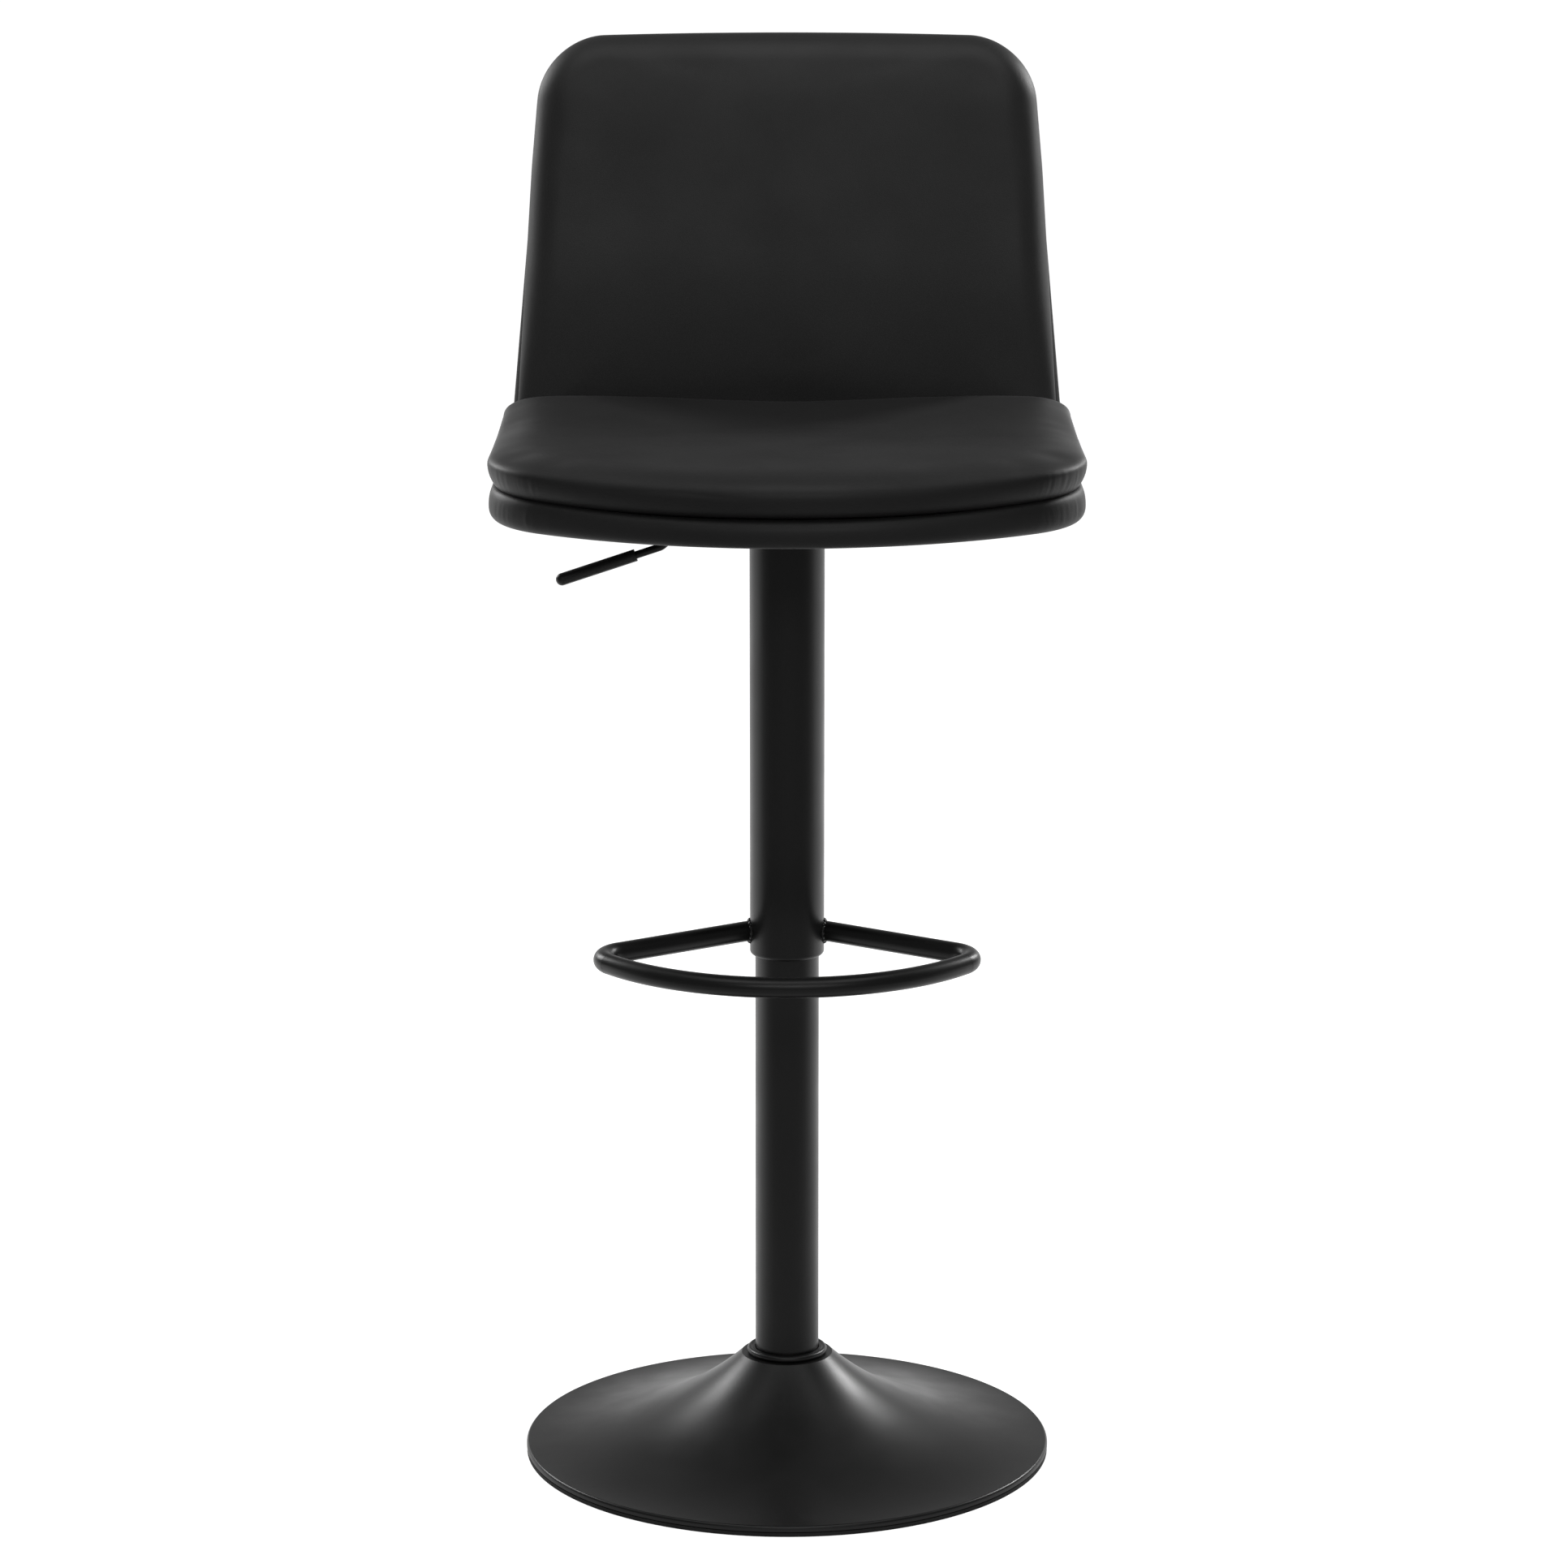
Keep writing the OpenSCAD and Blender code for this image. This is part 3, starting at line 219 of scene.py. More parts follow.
class Finish:
    def __init__(self, name, tone, roughness, metallic=0.0, specular=0.5):
        tone = tone if hasattr(tone, "__len__") else (tone,) * 3
        self.material = bpy.data.materials.new(name)
        self.material.use_nodes = True
        self.tree = self.material.node_tree
        self.shader = self.tree.nodes["Principled BSDF"]
        self.shader.inputs["Base Color"].default_value = (*tone, 1)
        self.shader.inputs["Roughness"].default_value = roughness
        self.shader.inputs["Metallic"].default_value = metallic
        self.shader.inputs["Specular IOR Level"].default_value = specular
        self.where = self.tree.nodes.new("ShaderNodeTexCoord").outputs["Object"]
        self.tone = tone
        self.relief = None

    def link(self, a, b):
        self.tree.links.new(a, b)

    def noise(self, scale, detail=2.0, roughness=0.5, stretch=(1, 1, 1)):
        place = self.tree.nodes.new("ShaderNodeMapping")
        place.inputs["Scale"].default_value = stretch
        self.link(self.where, place.inputs["Vector"])
        node = self.tree.nodes.new("ShaderNodeTexNoise")
        node.inputs["Scale"].default_value = scale
        node.inputs["Detail"].default_value = detail
        node.inputs["Roughness"].default_value = roughness
        self.link(place.outputs["Vector"], node.inputs["Vector"])
        return node.outputs["Fac"]

    def cells(self, scale, feature="DISTANCE_TO_EDGE"):
        node = self.tree.nodes.new("ShaderNodeTexVoronoi")
        node.feature = feature
        node.inputs["Scale"].default_value = scale
        self.link(self.where, node.inputs["Vector"])
        return node.outputs["Distance"]

    def shade(self, value, low, high):
        """Colours the piece from low to high times its tone as the value goes up."""
        node = self.tree.nodes.new("ShaderNodeValToRGB")
        for stop, share, place in zip(node.color_ramp.elements, (low, high), NOISE_SPAN):
            stop.color = (*(share * c for c in self.tone), 1)
            stop.position = place
        self.link(value, node.inputs["Fac"])
        self.link(node.outputs["Color"], self.shader.inputs["Base Color"])

    def rough(self, value, low, high):
        """Takes the roughness from low to high as the value goes up."""
        varied = graded(self.tree, value, *NOISE_SPAN, low, high, curve="LINEAR")
        self.link(varied, self.shader.inputs["Roughness"])

    def bump(self, height, strength, distance):
        """Adds a layer of relief on top of the layers before it."""
        node = self.tree.nodes.new("ShaderNodeBump")
        node.inputs["Strength"].default_value = strength
        node.inputs["Distance"].default_value = distance
        self.link(height, node.inputs["Height"])
        if self.relief:
            self.link(self.relief, node.inputs["Normal"])
        self.relief = node.outputs["Normal"]
        self.link(self.relief, self.shader.inputs["Normal"])


# %% [markdown]
# The cover is black imitation leather. Its grain is a net of pebbles about a millimetre
# across, with a finer tooth on them. The fainter, larger waves in its gloss come from the
# way the cover is stretched over the foam.

# %% Leather
def leather(name, tone):
    skin = Finish(name, tone, 0.5, specular=0.30)
    skin.shade(skin.noise(9, 3), 0.85, 1.15)
    skin.rough(skin.noise(14, 3), 0.48, 0.58)
    skin.bump(skin.noise(55, 3), 0.10, 0.0006)
    skin.bump(skin.cells(850), 0.30, 0.00025)
    skin.bump(skin.noise(2600, 2), 0.15, 0.0001)
    skin.shader.inputs["Sheen Weight"].default_value = 0.02
    return skin.material


# All four pads are covered in one black leather. Their tones differ only to set how bright each
# pad looks: the back's lighter tone is painted light, the seat's darker tone painted shade.
finishes = {name: leather(name, tone) for name, tone in (
    ("seat_leather", 0.015), ("pan_leather", 0.017),
    ("back_leather", 0.028), ("shell_leather", 0.019))}
print("leathers:", sorted(finishes))


# %% [markdown]
# The steel is powder-coated: the powder melts into a thin skin with a very fine orange
# peel. The moulded plastics are a little duller, and the rubber is nearly matt.

# %% Coat, plastic and rubber
def coat(name, tone, low, high):
    paint = Finish(name, tone, low, specular=0.40)
    paint.shade(paint.noise(6, 2), 0.9, 1.1)
    paint.rough(paint.noise(25, 4), low, high)
    paint.bump(paint.noise(900, 2), 0.10, 0.0003)
    return paint.material


def moulded(name, tone, low, high, grain):
    plastic = Finish(name, tone, low, specular=0.40)
    plastic.shade(plastic.noise(12, 2), 0.9, 1.1)
    plastic.rough(plastic.noise(40, 3), low, high)
    plastic.bump(plastic.noise(grain, 2), 0.10, 0.0002)
    return plastic.material


finishes.update({
    "black_coat": coat("black_coat", 0.008, 0.32, 0.40),
    "cylinder_coat": coat("cylinder_coat", 0.008, 0.18, 0.28),
    "collar_plastic": moulded("collar_plastic", 0.010, 0.28, 0.40, 600),
    "bush_plastic": moulded("bush_plastic", 0.03, 0.40, 0.55, 800),
    "grip_plastic": moulded("grip_plastic", 0.025, 0.34, 0.48, 900),
    "floor_rubber": moulded("floor_rubber", 0.02, 0.70, 0.85, 1200)})
print("coats and plastics: 6")


# %% [markdown]
# Under the seat and inside the column there is bare metal, wood and cloth. The metals get
# a slightly uneven gloss, the wood its long grain, and the cloth two crossed sets of threads.

# %% Bare metal, wood and cloth
def bare(name, colour, roughness):
    metal = Finish(name, colour, roughness, metallic=1.0)
    metal.shade(metal.noise(30, 3), 0.85, 1.0)
    metal.rough(metal.noise(120, 4), roughness * 0.8, roughness * 1.2)
    metal.bump(metal.noise(700, 3), 0.08, 0.0002)
    return metal.material


def wood(name):
    ply = Finish(name, (0.50, 0.36, 0.22), 0.7)
    grain = ply.noise(7, 6, 0.65, (12, 1, 60))
    ply.shade(grain, 0.7, 1.15)
    ply.bump(grain, 0.15, 0.0004)
    return ply.material


def woven(name, tone, threads=190):
    cloth = Finish(name, tone, 0.9, specular=0.2)
    waves = []
    for axis in ("X", "Y"):
        wave = cloth.tree.nodes.new("ShaderNodeTexWave")
        wave.bands_direction = axis
        wave.inputs["Scale"].default_value = threads
        cloth.link(cloth.where, wave.inputs["Vector"])
        waves.append(wave.outputs["Fac"])
    crossed = maths(cloth.tree, "MAXIMUM", *waves)
    cloth.shade(crossed, 0.5, 1.4)
    cloth.bump(crossed, 0.3, 0.0003)
    return cloth.material


finishes.update({
    "zinc_steel": bare("zinc_steel", (0.62, 0.63, 0.66), 0.32),
    "plain_steel": bare("plain_steel", (0.45, 0.45, 0.46), 0.45),
    "yellow_brass": bare("yellow_brass", (0.72, 0.52, 0.24), 0.35),
    "plywood": wood("plywood"),
    "dust_cloth": woven("dust_cloth", 0.035)})

slot_of = {row["node"]: row["material_slot"] for row in frame["record"]["subparts"]}


def dress(obj, slot):
    obj.data.materials.clear()
    obj.data.materials.append(finishes[slot])


for name, obj in nodes.items():
    dress(obj, slot_of[name])
print("finishes:", len(finishes))

# %% [markdown]
# The pads follow the same outlines as the boards inside them. Their sizes are in metres.
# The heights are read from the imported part, so a pad always sits on its board.

# %% Sizes of the upholstery
SEAT_W = 0.451
SEAT_FRONT = 0.209
FRONT_R = 0.330
CORNER_R = 0.088
REAR_R = 0.032
SIDE_ANGLE = math.radians(1.0)
BACK_Y = 0.215
BACK_R = 1.036
BACK_TILT = math.radians(10.0)
BACK_H = 0.325
BACK_FOOT_W = 0.2205
BACK_TOP_W = 0.1935
BACK_CORNER = 0.050
BACK_HEEL = 0.014
BACK_CROWN = 0.005
PAD_T = 0.036
SHELL_T = 0.023
SHELL_DROP = 0.008
STRAP_W = 0.060
SLOT_HALF = STRAP_W / 2 + 0.001
GAP = 0.0003

cushion_low, cushion_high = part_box("seat_cushion")
pan_low, pan_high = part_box("seat_pan")
board_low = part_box("seat_board")[0]
BACK_Z = board_low[2]
print("seat cushion from %.4f to %.4f m" % (cushion_low[2], cushion_high[2]))

# %% [markdown]
# A seat outline like this one is a few arcs that meet smoothly: a shallow front, two round
# corners, nearly straight sides and a rear edge that follows the back. Drawing it from the
# arcs' centres keeps every inset copy of it parallel, which a scaled copy isn't.

# %% Seat outline
SMALLEST_R = 0.0005
FRONT_C = np.array((0.0, FRONT_R - SEAT_FRONT))
REAR_C = np.array((0.0, BACK_Y - (BACK_R - PAD_T) - PAD_T / math.cos(BACK_TILT)))
REAR_ARC = BACK_R - PAD_T - GAP
CORNER_C = np.array((SEAT_W / 2 - CORNER_R, 0.0))
CORNER_C[1] = FRONT_C[1] - math.sqrt((FRONT_R - CORNER_R) ** 2 - CORNER_C[0] ** 2)


def arc(centre, radius, start, end, count=60):
    turn = np.linspace(start, end, count)
    return np.stack([centre[0] + radius * np.cos(turn), centre[1] + radius * np.sin(turn)], 1)


def even(points, count):
    """The same open line with its points at even distances."""
    steps = np.linalg.norm(np.diff(points, axis=0), axis=1)
    reach = np.concatenate([[0], np.cumsum(steps)])
    want = np.linspace(0, reach[-1], count)
    return np.stack([np.interp(want, reach, points[:, k]) for k in range(points.shape[1])], 1)


def seat_outline(inset=0.0, count=220):
    """The seat's outline from above, inset by a distance, as a ring of 2 x count points."""
    normal = np.array([math.cos(SIDE_ANGLE), math.sin(SIDE_ANGLE)])
    along = np.array([-normal[1], normal[0]])
    side = CORNER_C @ normal + CORNER_R
    rear_run = side - REAR_R - REAR_C @ normal
    rear = normal * (side - REAR_R) + along * (
        REAR_C @ along + math.sqrt((REAR_ARC - REAR_R) ** 2 - rear_run ** 2))
    front_turn = math.atan2(CORNER_C[1] - FRONT_C[1], CORNER_C[0] - FRONT_C[0])
    rear_turn = math.atan2(rear[1] - REAR_C[1], rear[0] - REAR_C[0])
    half = np.concatenate([
        arc(FRONT_C, FRONT_R - inset, -math.pi / 2, front_turn),
        arc(CORNER_C, CORNER_R - inset, front_turn, SIDE_ANGLE),
        arc(rear, max(REAR_R - inset, SMALLEST_R), SIDE_ANGLE, rear_turn),
        arc(REAR_C, REAR_ARC - inset, rear_turn, math.pi / 2)])
    half = even(half, count + 1)
    other = half[-2:0:-1] * [-1, 1]
    return np.concatenate([half, other])


def rim_from_rear(inset, count):
    """The outline as a ring that starts at the middle of the rear."""
    return np.roll(seat_outline(inset, count), count, axis=0)


print("seat outline: %d points" % len(seat_outline()))


# %% [markdown]
# Two helpers make a closed skin: one joins a stack of rings, and the other turns plain
# lists into a piece with its faces pointing outwards. The rest read and move points, find
# the ones nearby, and apply modifiers.

# %% Mesh helpers
SAME_POINT = 1e-6


def face_outwards(mesh, merge=False):
    """Turns the faces outwards and shades them smooth; merge joins points in one place."""
    form = bmesh.new()
    form.from_mesh(mesh)
    if merge:
        bmesh.ops.remove_doubles(form, verts=form.verts, dist=SAME_POINT)
    bmesh.ops.recalc_face_normals(form, faces=form.faces)
    form.to_mesh(mesh)
    form.free()
    mesh.polygons.foreach_set("use_smooth", [True] * len(mesh.polygons))


def piece(name, verts, faces):
    mesh = bpy.data.meshes.new(name)
    mesh.from_pydata([tuple(v) for v in verts], [], [tuple(f) for f in faces])
    face_outwards(mesh, merge=True)
    obj = bpy.data.objects.new(name, mesh)
    bpy.context.scene.collection.objects.link(obj)
    return obj


def loft(name, rings, capped=True):
    """A skin through rings of (x, y, z) of equal counts. A cap is a ladder from side to side."""
    n = len(rings[0])
    verts = np.concatenate(rings)
    faces = []
    for k in range(len(rings) - 1):
        for i in range(n):
            j = (i + 1) % n
            faces.append((k * n + i, k * n + j, (k + 1) * n + j, (k + 1) * n + i))
    if capped:
        for first in (0, (len(rings) - 1) * n):
            for i in range(n // 2):
                rung = dict.fromkeys((i, i + 1, n - i - 1, (n - i) % n))
                faces.append(tuple(first + k for k in rung))
    return piece(name, verts, faces)


def points_of(obj):
    """The piece's points as rows of x, y and z."""
    out = np.empty(len(obj.data.vertices) * 3)
    obj.data.vertices.foreach_get("co", out)
    return out.reshape(-1, 3)


def set_points(obj, points):
    obj.data.vertices.foreach_set("co", np.ascontiguousarray(points).ravel())
    obj.data.update()


def lookup_of(points):
    """A tree that finds the points near a place quickly."""
    lookup = kdtree.KDTree(len(points))
    for i, p in enumerate(points):
        lookup.insert(p, i)
    lookup.balance()
    return lookup


def bake(obj, mod):
    """Applies a modifier."""
    bpy.context.view_layer.objects.active = obj
    bpy.ops.object.modifier_apply(modifier=mod.name)


def refine(obj, smooth=1):
    """Eases the skin and gives it one subdivision."""
    mod = obj.modifiers.new("ease", "SMOOTH")
    mod.factor = 0.4
    mod.iterations = smooth
    bake(obj, mod)
    mod = obj.modifiers.new("finer", "SUBSURF")
    mod.levels = mod.render_levels = 1
    bake(obj, mod)
    obj.data.polygons.foreach_set("use_smooth", [True] * len(obj.data.polygons))


# %% [markdown]
# Real upholstery gets its shape from foam that pushes against a tight skin. A cloth
# simulation does the same. It wants even quads, and a drawn pad has long thin ones, so an
# even copy of the pad is remeshed and blown up with air. The pad's own points then move
# with the copy's points around them, which also irons out the copy's small lumps.

# %% Foam by simulation
FRAMES = 20


def blown_up(even_copy, pinned, pressure):
    """The points of a pad after the simulation. pinned lists the points that stay put."""
    group = even_copy.vertex_groups.new(name="pinned")
    group.add(pinned, 1.0, "REPLACE")
    mod = even_copy.modifiers.new("foam", "CLOTH")
    cloth = mod.settings
    cloth.quality = 5
    cloth.mass = 0.4
    cloth.tension_stiffness = cloth.compression_stiffness = 15
    cloth.shear_stiffness = 10
    cloth.bending_stiffness = 2.0
    cloth.air_damping = 6
    cloth.use_pressure = True
    cloth.uniform_pressure_force = pressure
    cloth.vertex_group_mass = "pinned"
    cloth.effector_weights.gravity = 0
    mod.collision_settings.use_collision = False
    mod.point_cache.frame_start = 1
    mod.point_cache.frame_end = FRAMES
    for f in range(1, FRAMES + 1):
        bpy.context.scene.frame_set(f)
    shown = even_copy.evaluated_get(bpy.context.evaluated_depsgraph_get())
    end = np.empty(len(shown.data.vertices) * 3)
    shown.data.vertices.foreach_get("co", end)
    bpy.context.scene.frame_set(1)
    return end.reshape(-1, 3)


def puff(obj, held, cap, voxel=0.006, reach=0.022, pressure=2.5):
    """Fills a pad with foam, and lets no point of it move further than cap.

    held(points) is 1 where the skin stays put and 0 where it's free. reach is how far around
    it a point of the pad looks for points of the copy.
    """
    copy = obj.copy()
    copy.data = obj.data.copy()
    bpy.context.scene.collection.objects.link(copy)
    mod = copy.modifiers.new("even_quads", "REMESH")
    mod.mode = "VOXEL"
    mod.voxel_size = voxel
    bake(copy, mod)
    start = points_of(copy)
    pinned = [int(i) for i in np.nonzero(held(start) > 0.5)[0]]
    move = blown_up(copy, pinned, pressure) - start
    far = np.maximum(np.linalg.norm(move, axis=1, keepdims=True), 1e-9)
    move *= cap * np.tanh(far / cap) / far
    bpy.data.objects.remove(copy)
    lookup = lookup_of(start)
    skin = points_of(obj)
    shift = np.zeros_like(skin)
    for k, p in enumerate(skin):
        near = lookup.find_range(p, reach) or [lookup.find(p)]
        index = [hit[1] for hit in near]
        share = (1 - np.array([hit[2] for hit in near]) / (reach * 1.01)).clip(0.01) ** 2
        shift[k] = share @ move[index] / share.sum()
    shift *= (1 - held(skin))[:, None]
    set_points(obj, skin + shift)
    swell = 1000 * np.linalg.norm(shift, axis=1)
    print("%s: swells by up to %.1f mm, %.1f mm on average"
          % (obj.name, swell.max(), swell.mean()))


# %% [markdown]
# Blowing a pad up also pulls its sides in a little. A last even stretch along each axis
# brings its box back to the size of the part, so that it still meets its neighbours. The
# two back pads aren't stretched from front to back, so that their seam stays closed.

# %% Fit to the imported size
def fit_box(obj, low, high, axes=(0, 1, 2)):
    p = points_of(obj)
    for k in axes:
        was_low, was_high = p[:, k].min(), p[:, k].max()
        p[:, k] = low[k] + (p[:, k] - was_low) * (high[k] - low[k]) / (was_high - was_low)
    set_points(obj, p)


# %% [markdown]
# The seat cushion is a block of foam about 33 mm thick. Its top is nearly flat and a
# little hollow towards the back, its front edge rolls over in a wide curve, and its foot
# is drawn well in, where the cover is pulled down over the board. That leaves the dark
# groove between the cushion and the pan.

# %% Seat cushion
CUSHION_ROLL = 0.031
CUSHION_TUCK = 0.014
GROOVE_LIFT = 0.0055
GROOVE_OPEN = 0.0012
HOLLOW_DEPTH, HOLLOW_W = 0.0085, 0.13
SAT_ON_DEPTH, SAT_ON_W = 0.0015, 0.15
REAR_CREST = 0.0045
TOP_DROP = 0.0010
BELLY_SHARE = 0.47
CUSHION_CENTRE = np.array([0.0, -0.015])
FOOT_STEPS = (0.3, 0.6, 0.85, 0.96)
TOP_STEPS = (0.97, 0.93, 0.87, 0.8, 0.72, 0.63, 0.53, 0.43, 0.33, 0.23, 0.13, 0.05)


def step(values, start, end):
    """A smooth step from 0 at start to 1 at end."""
    t = np.clip((values - start) / (end - start), 0, 1)
    return t * t * (3 - 2 * t)


def groove(x):
    """How much higher the groove runs than the board's top: it rises to both sides."""
    return GROOVE_LIFT * np.abs(x / (SEAT_W / 2)) ** 2.2


def seat_top(flat):
    """Height of the cushion's top over points seen from above."""
    x, y = flat[:, 0], flat[:, 1]
    hollow = HOLLOW_DEPTH * np.exp(-(x / HOLLOW_W) ** 2) * np.clip((y + 0.10) / 0.22, 0, 1)
    sat_on = SAT_ON_DEPTH * np.exp(-(x / SAT_ON_W) ** 2 - (y / SAT_ON_W) ** 2)
    crest = REAR_CREST * step(y, 0.00, 0.16)
    return cushion_high[2] - TOP_DROP - hollow - sat_on + crest


def seat_cushion():
    """Rings from the middle of the foot, out and up round the side, and in over the top."""
    low = cushion_low[2]
    belly = low + BELLY_SHARE * (cushion_high[2] - low)
    rings = []

    def ring(inset, height, shrink=1.0):
        flat = CUSHION_CENTRE + (seat_outline(inset) - CUSHION_CENTRE) * shrink
        rings.append(np.column_stack([flat, height(flat) + 0 * flat[:, 0]]))

    def opened(flat):
        return GROOVE_OPEN + groove(flat[:, 0])

    for shrink in FOOT_STEPS:
        ring(CUSHION_TUCK, lambda flat: low, shrink)
    for turn in np.linspace(0, math.pi / 2, 8)[:-1]:
        share = 1 - math.cos(turn)
        ring(CUSHION_TUCK * (1 - math.sin(turn)), lambda flat, c=share, k=math.sin(turn):
             low + (belly - low) * c + opened(flat) * k)
    for turn in np.linspace(0, math.pi / 2, 11):
        ring(CUSHION_ROLL * (1 - math.cos(turn)) ** 1.3, lambda flat, k=math.sin(turn):
             belly + (seat_top(flat) - belly) * k + opened(flat) * (1 - k))
    for shrink in TOP_STEPS:
        ring(CUSHION_ROLL, seat_top, shrink)
    return loft("seat_cushion_pad", rings)


def foot_held(points):
    """The cushion's foot stays down on the board."""
    return 1 - step(points[:, 2], cushion_low[2] + 0.003, cushion_low[2] + 0.012)


cushion = seat_cushion()
puff(cushion, foot_held, cap=0.003)
refine(cushion, smooth=6)
SEAT_LOW = np.array([-SEAT_W / 2, -SEAT_FRONT])
SEAT_HIGH = np.array([SEAT_W / 2, points_of(cushion)[:, 1].max()])
PROUD = 0.0012
fit_box(cushion, (*(SEAT_LOW - PROUD), cushion_low[2]),
        (*(SEAT_HIGH + (PROUD, 0)), cushion_high[2] + 3 * PROUD))

# %% [markdown]
# A tight cover gathers where it goes round a corner. Smooth noise along the edge makes fine
# upright wrinkles that all differ, and a shallow crease runs along one half of the front,
# where the foam gives under the sitter's leg.

# %% Wrinkles in the cover
GATHERS_AT, GATHERS_W = -0.62, 0.42
COARSE_FOLDS, FINE_FOLDS = 260, 520
CREASE_W, CREASE_WAVE = 0.0016, 0.0012


def gathers(obj, low, high, depth):
    """Fine upright wrinkles at the front corners, between two heights.

    turn is the angle round the corner's centre, the same on both hands.
    """
    p = points_of(obj)
    for hand in (1, -1):
        out = p[:, :2] - CORNER_C * [hand, 1]
        turn = np.arctan2(out[:, 1], out[:, 0] * hand)
        radius = np.linalg.norm(out, axis=1)
        where = (step(radius, CORNER_R * 0.74, CORNER_R * 0.92)
                 * np.exp(-((turn - GATHERS_AT) / GATHERS_W) ** 4)
                 * step(p[:, 2], low, low + 0.35 * (high - low))
                 * (1 - step(p[:, 2], low + 0.5 * (high - low), high)))
        for i in np.nonzero(where > 0.02)[0]:
            along = turn[i] * CORNER_R
            fold = (noise.noise((along * COARSE_FOLDS, 3.1 * hand, p[i, 2] * 25))
                    + 0.6 * noise.noise((along * FINE_FOLDS, 7.7 * hand, p[i, 2] * 40)))
            p[i, :2] += out[i] / radius[i] * depth * fold * where[i]
    set_points(obj, p)


def front_crease(obj, height, depth):
    """A shallow wavy crease along the front, on the side where x is negative."""
    p = points_of(obj)
    drawn = height + CREASE_WAVE * np.sin(p[:, 0] * 55)
    where = (np.exp(-((p[:, 2] - drawn) / CREASE_W) ** 2) * (1 - step(p[:, 1], -0.205, -0.17))
             * step(p[:, 0], -0.175, -0.13) * (1 - step(p[:, 0], -0.06, -0.02)))
    p[:, 1] += depth * where
    set_points(obj, p)


gathers(cushion, cushion_low[2] + 0.003, cushion_low[2] + 0.028, 0.00035)
front_crease(cushion, cushion_low[2] + 0.019, 0.0004)
dress(cushion, "seat_leather")
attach(cushion, "seat_assembly")
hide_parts("seat_cushion")
print("cushion faces:", len(cushion.data.polygons))

# %% [markdown]
# The pan under the cushion is a thin band of padding that is wrapped round the edge of the
# seat board, turned under it and also over it, so no wood shows in the groove. It is drawn
# as one closed loop of rings. The strap of the back passes through a notch at the rear.

# %% Seat pan
PAN_WRAP = 0.0068
PAN_BORDER = 0.0253
PAN_UNDER, PAN_OVER = 0.0095, 0.0118
BELLY_IN, SHOULDER_IN = 0.0080, 0.0066
FLAP_FROM, FLAP_TO = 0.0085, 0.014


def pan_section():
    """The pan's section as (inset, height) pairs, round the loop."""
    floor_z = board_low[2] - GAP
    low, high = pan_low[2], pan_high[2]
    under, over = low + PAN_UNDER, low + PAN_OVER
    border = [(PAN_BORDER, floor_z), (PAN_BORDER + 0.0006, floor_z - 0.003),
              (PAN_BORDER, low + 0.002), (PAN_BORDER - 0.002, low + 0.0004),
              (0.020, low), (0.0150, low), (0.0110, low)]
    belly = [(BELLY_IN * (1 - math.sin(t)), low + (under - low) * (1 - math.cos(t)))
             for t in np.linspace(0, math.pi / 2, 7)]
    shoulder = [(SHOULDER_IN * (1 - math.cos(t)), over + (high - over) * math.sin(t))
                for t in np.linspace(0, math.pi / 2, 7)]
    flap = [(FLAP_FROM, high + 0.0001), (FLAP_TO, high + 0.0002), (0.022, high + 0.0002),
            (0.0225, high - 0.0002), (FLAP_TO, high - 0.0006), (0.0080, high - 0.0008)]
    inside = [(PAN_WRAP, high - 0.002), (PAN_WRAP, floor_z + 0.004), (PAN_WRAP, floor_z)]
    return border + belly + shoulder + flap + inside


def seat_pan():
    """The section swept round the seat; its shoulder and flap follow the groove."""
    middle = (pan_low[2] + pan_high[2]) / 2
    rings = []
    for inset, height in pan_section():
        flat = seat_outline(inset)
        lift = groove(flat[:, 0]) * (1 - step(inset, FLAP_FROM, FLAP_TO))
        rings.append(np.column_stack([flat, height + lift * step(height, middle, pan_high[2])]))
    return loft("seat_pan_pad", rings + rings[:1], capped=False)


def cut_box(obj, low, high):
    """Takes a plain box out of a closed mesh."""
    bpy.ops.mesh.primitive_cube_add(size=1)
    tool = bpy.context.object
    tool.scale = [b - a for a, b in zip(low, high)]
    tool.location = [(a + b) / 2 for a, b in zip(low, high)]
    mod = obj.modifiers.new("cut", "BOOLEAN")
    mod.operation = "DIFFERENCE"
    mod.object = tool
    bake(obj, mod)
    bpy.data.objects.remove(tool)


outline_lookup = lookup_of([(x, y, 0) for x, y in seat_outline(0.0, 500)])


def inset_of(points):
    """How far each point lies inside the seat's outline, seen from above."""
    return np.array([outline_lookup.find((p[0], p[1], 0))[2] for p in points])


pan = seat_pan()
puff(pan, lambda p: step(inset_of(p), 0.003, 0.0065), cap=0.0012, voxel=0.004, reach=0.009)
refine(pan, smooth=0)
fit_box(pan, (*(SEAT_LOW - 0.0006), pan_low[2]),
        (*(SEAT_HIGH + 0.0006), points_of(pan)[:, 2].max()))
gathers(pan, pan_low[2] + 0.002, pan_high[2] + 0.003, 0.00030)
cut_box(pan, (-SLOT_HALF, 0.10, pan_low[2] - 0.01), (SLOT_HALF, 0.25, board_low[2] + 0.0002))
dress(pan, "pan_leather")
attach(pan, "seat_assembly")
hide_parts("seat_pan")
print("pan faces:", len(pan.data.polygons))

# %% [markdown]
# The back is two pads that meet in a seam along their edge: a plump one to lean on, and a
# firmer shell behind it. Both are bent round the sitter. They are drawn in the back's own
# leaning frame, with x along the seam, o behind it and s up it, and a last step bends them.

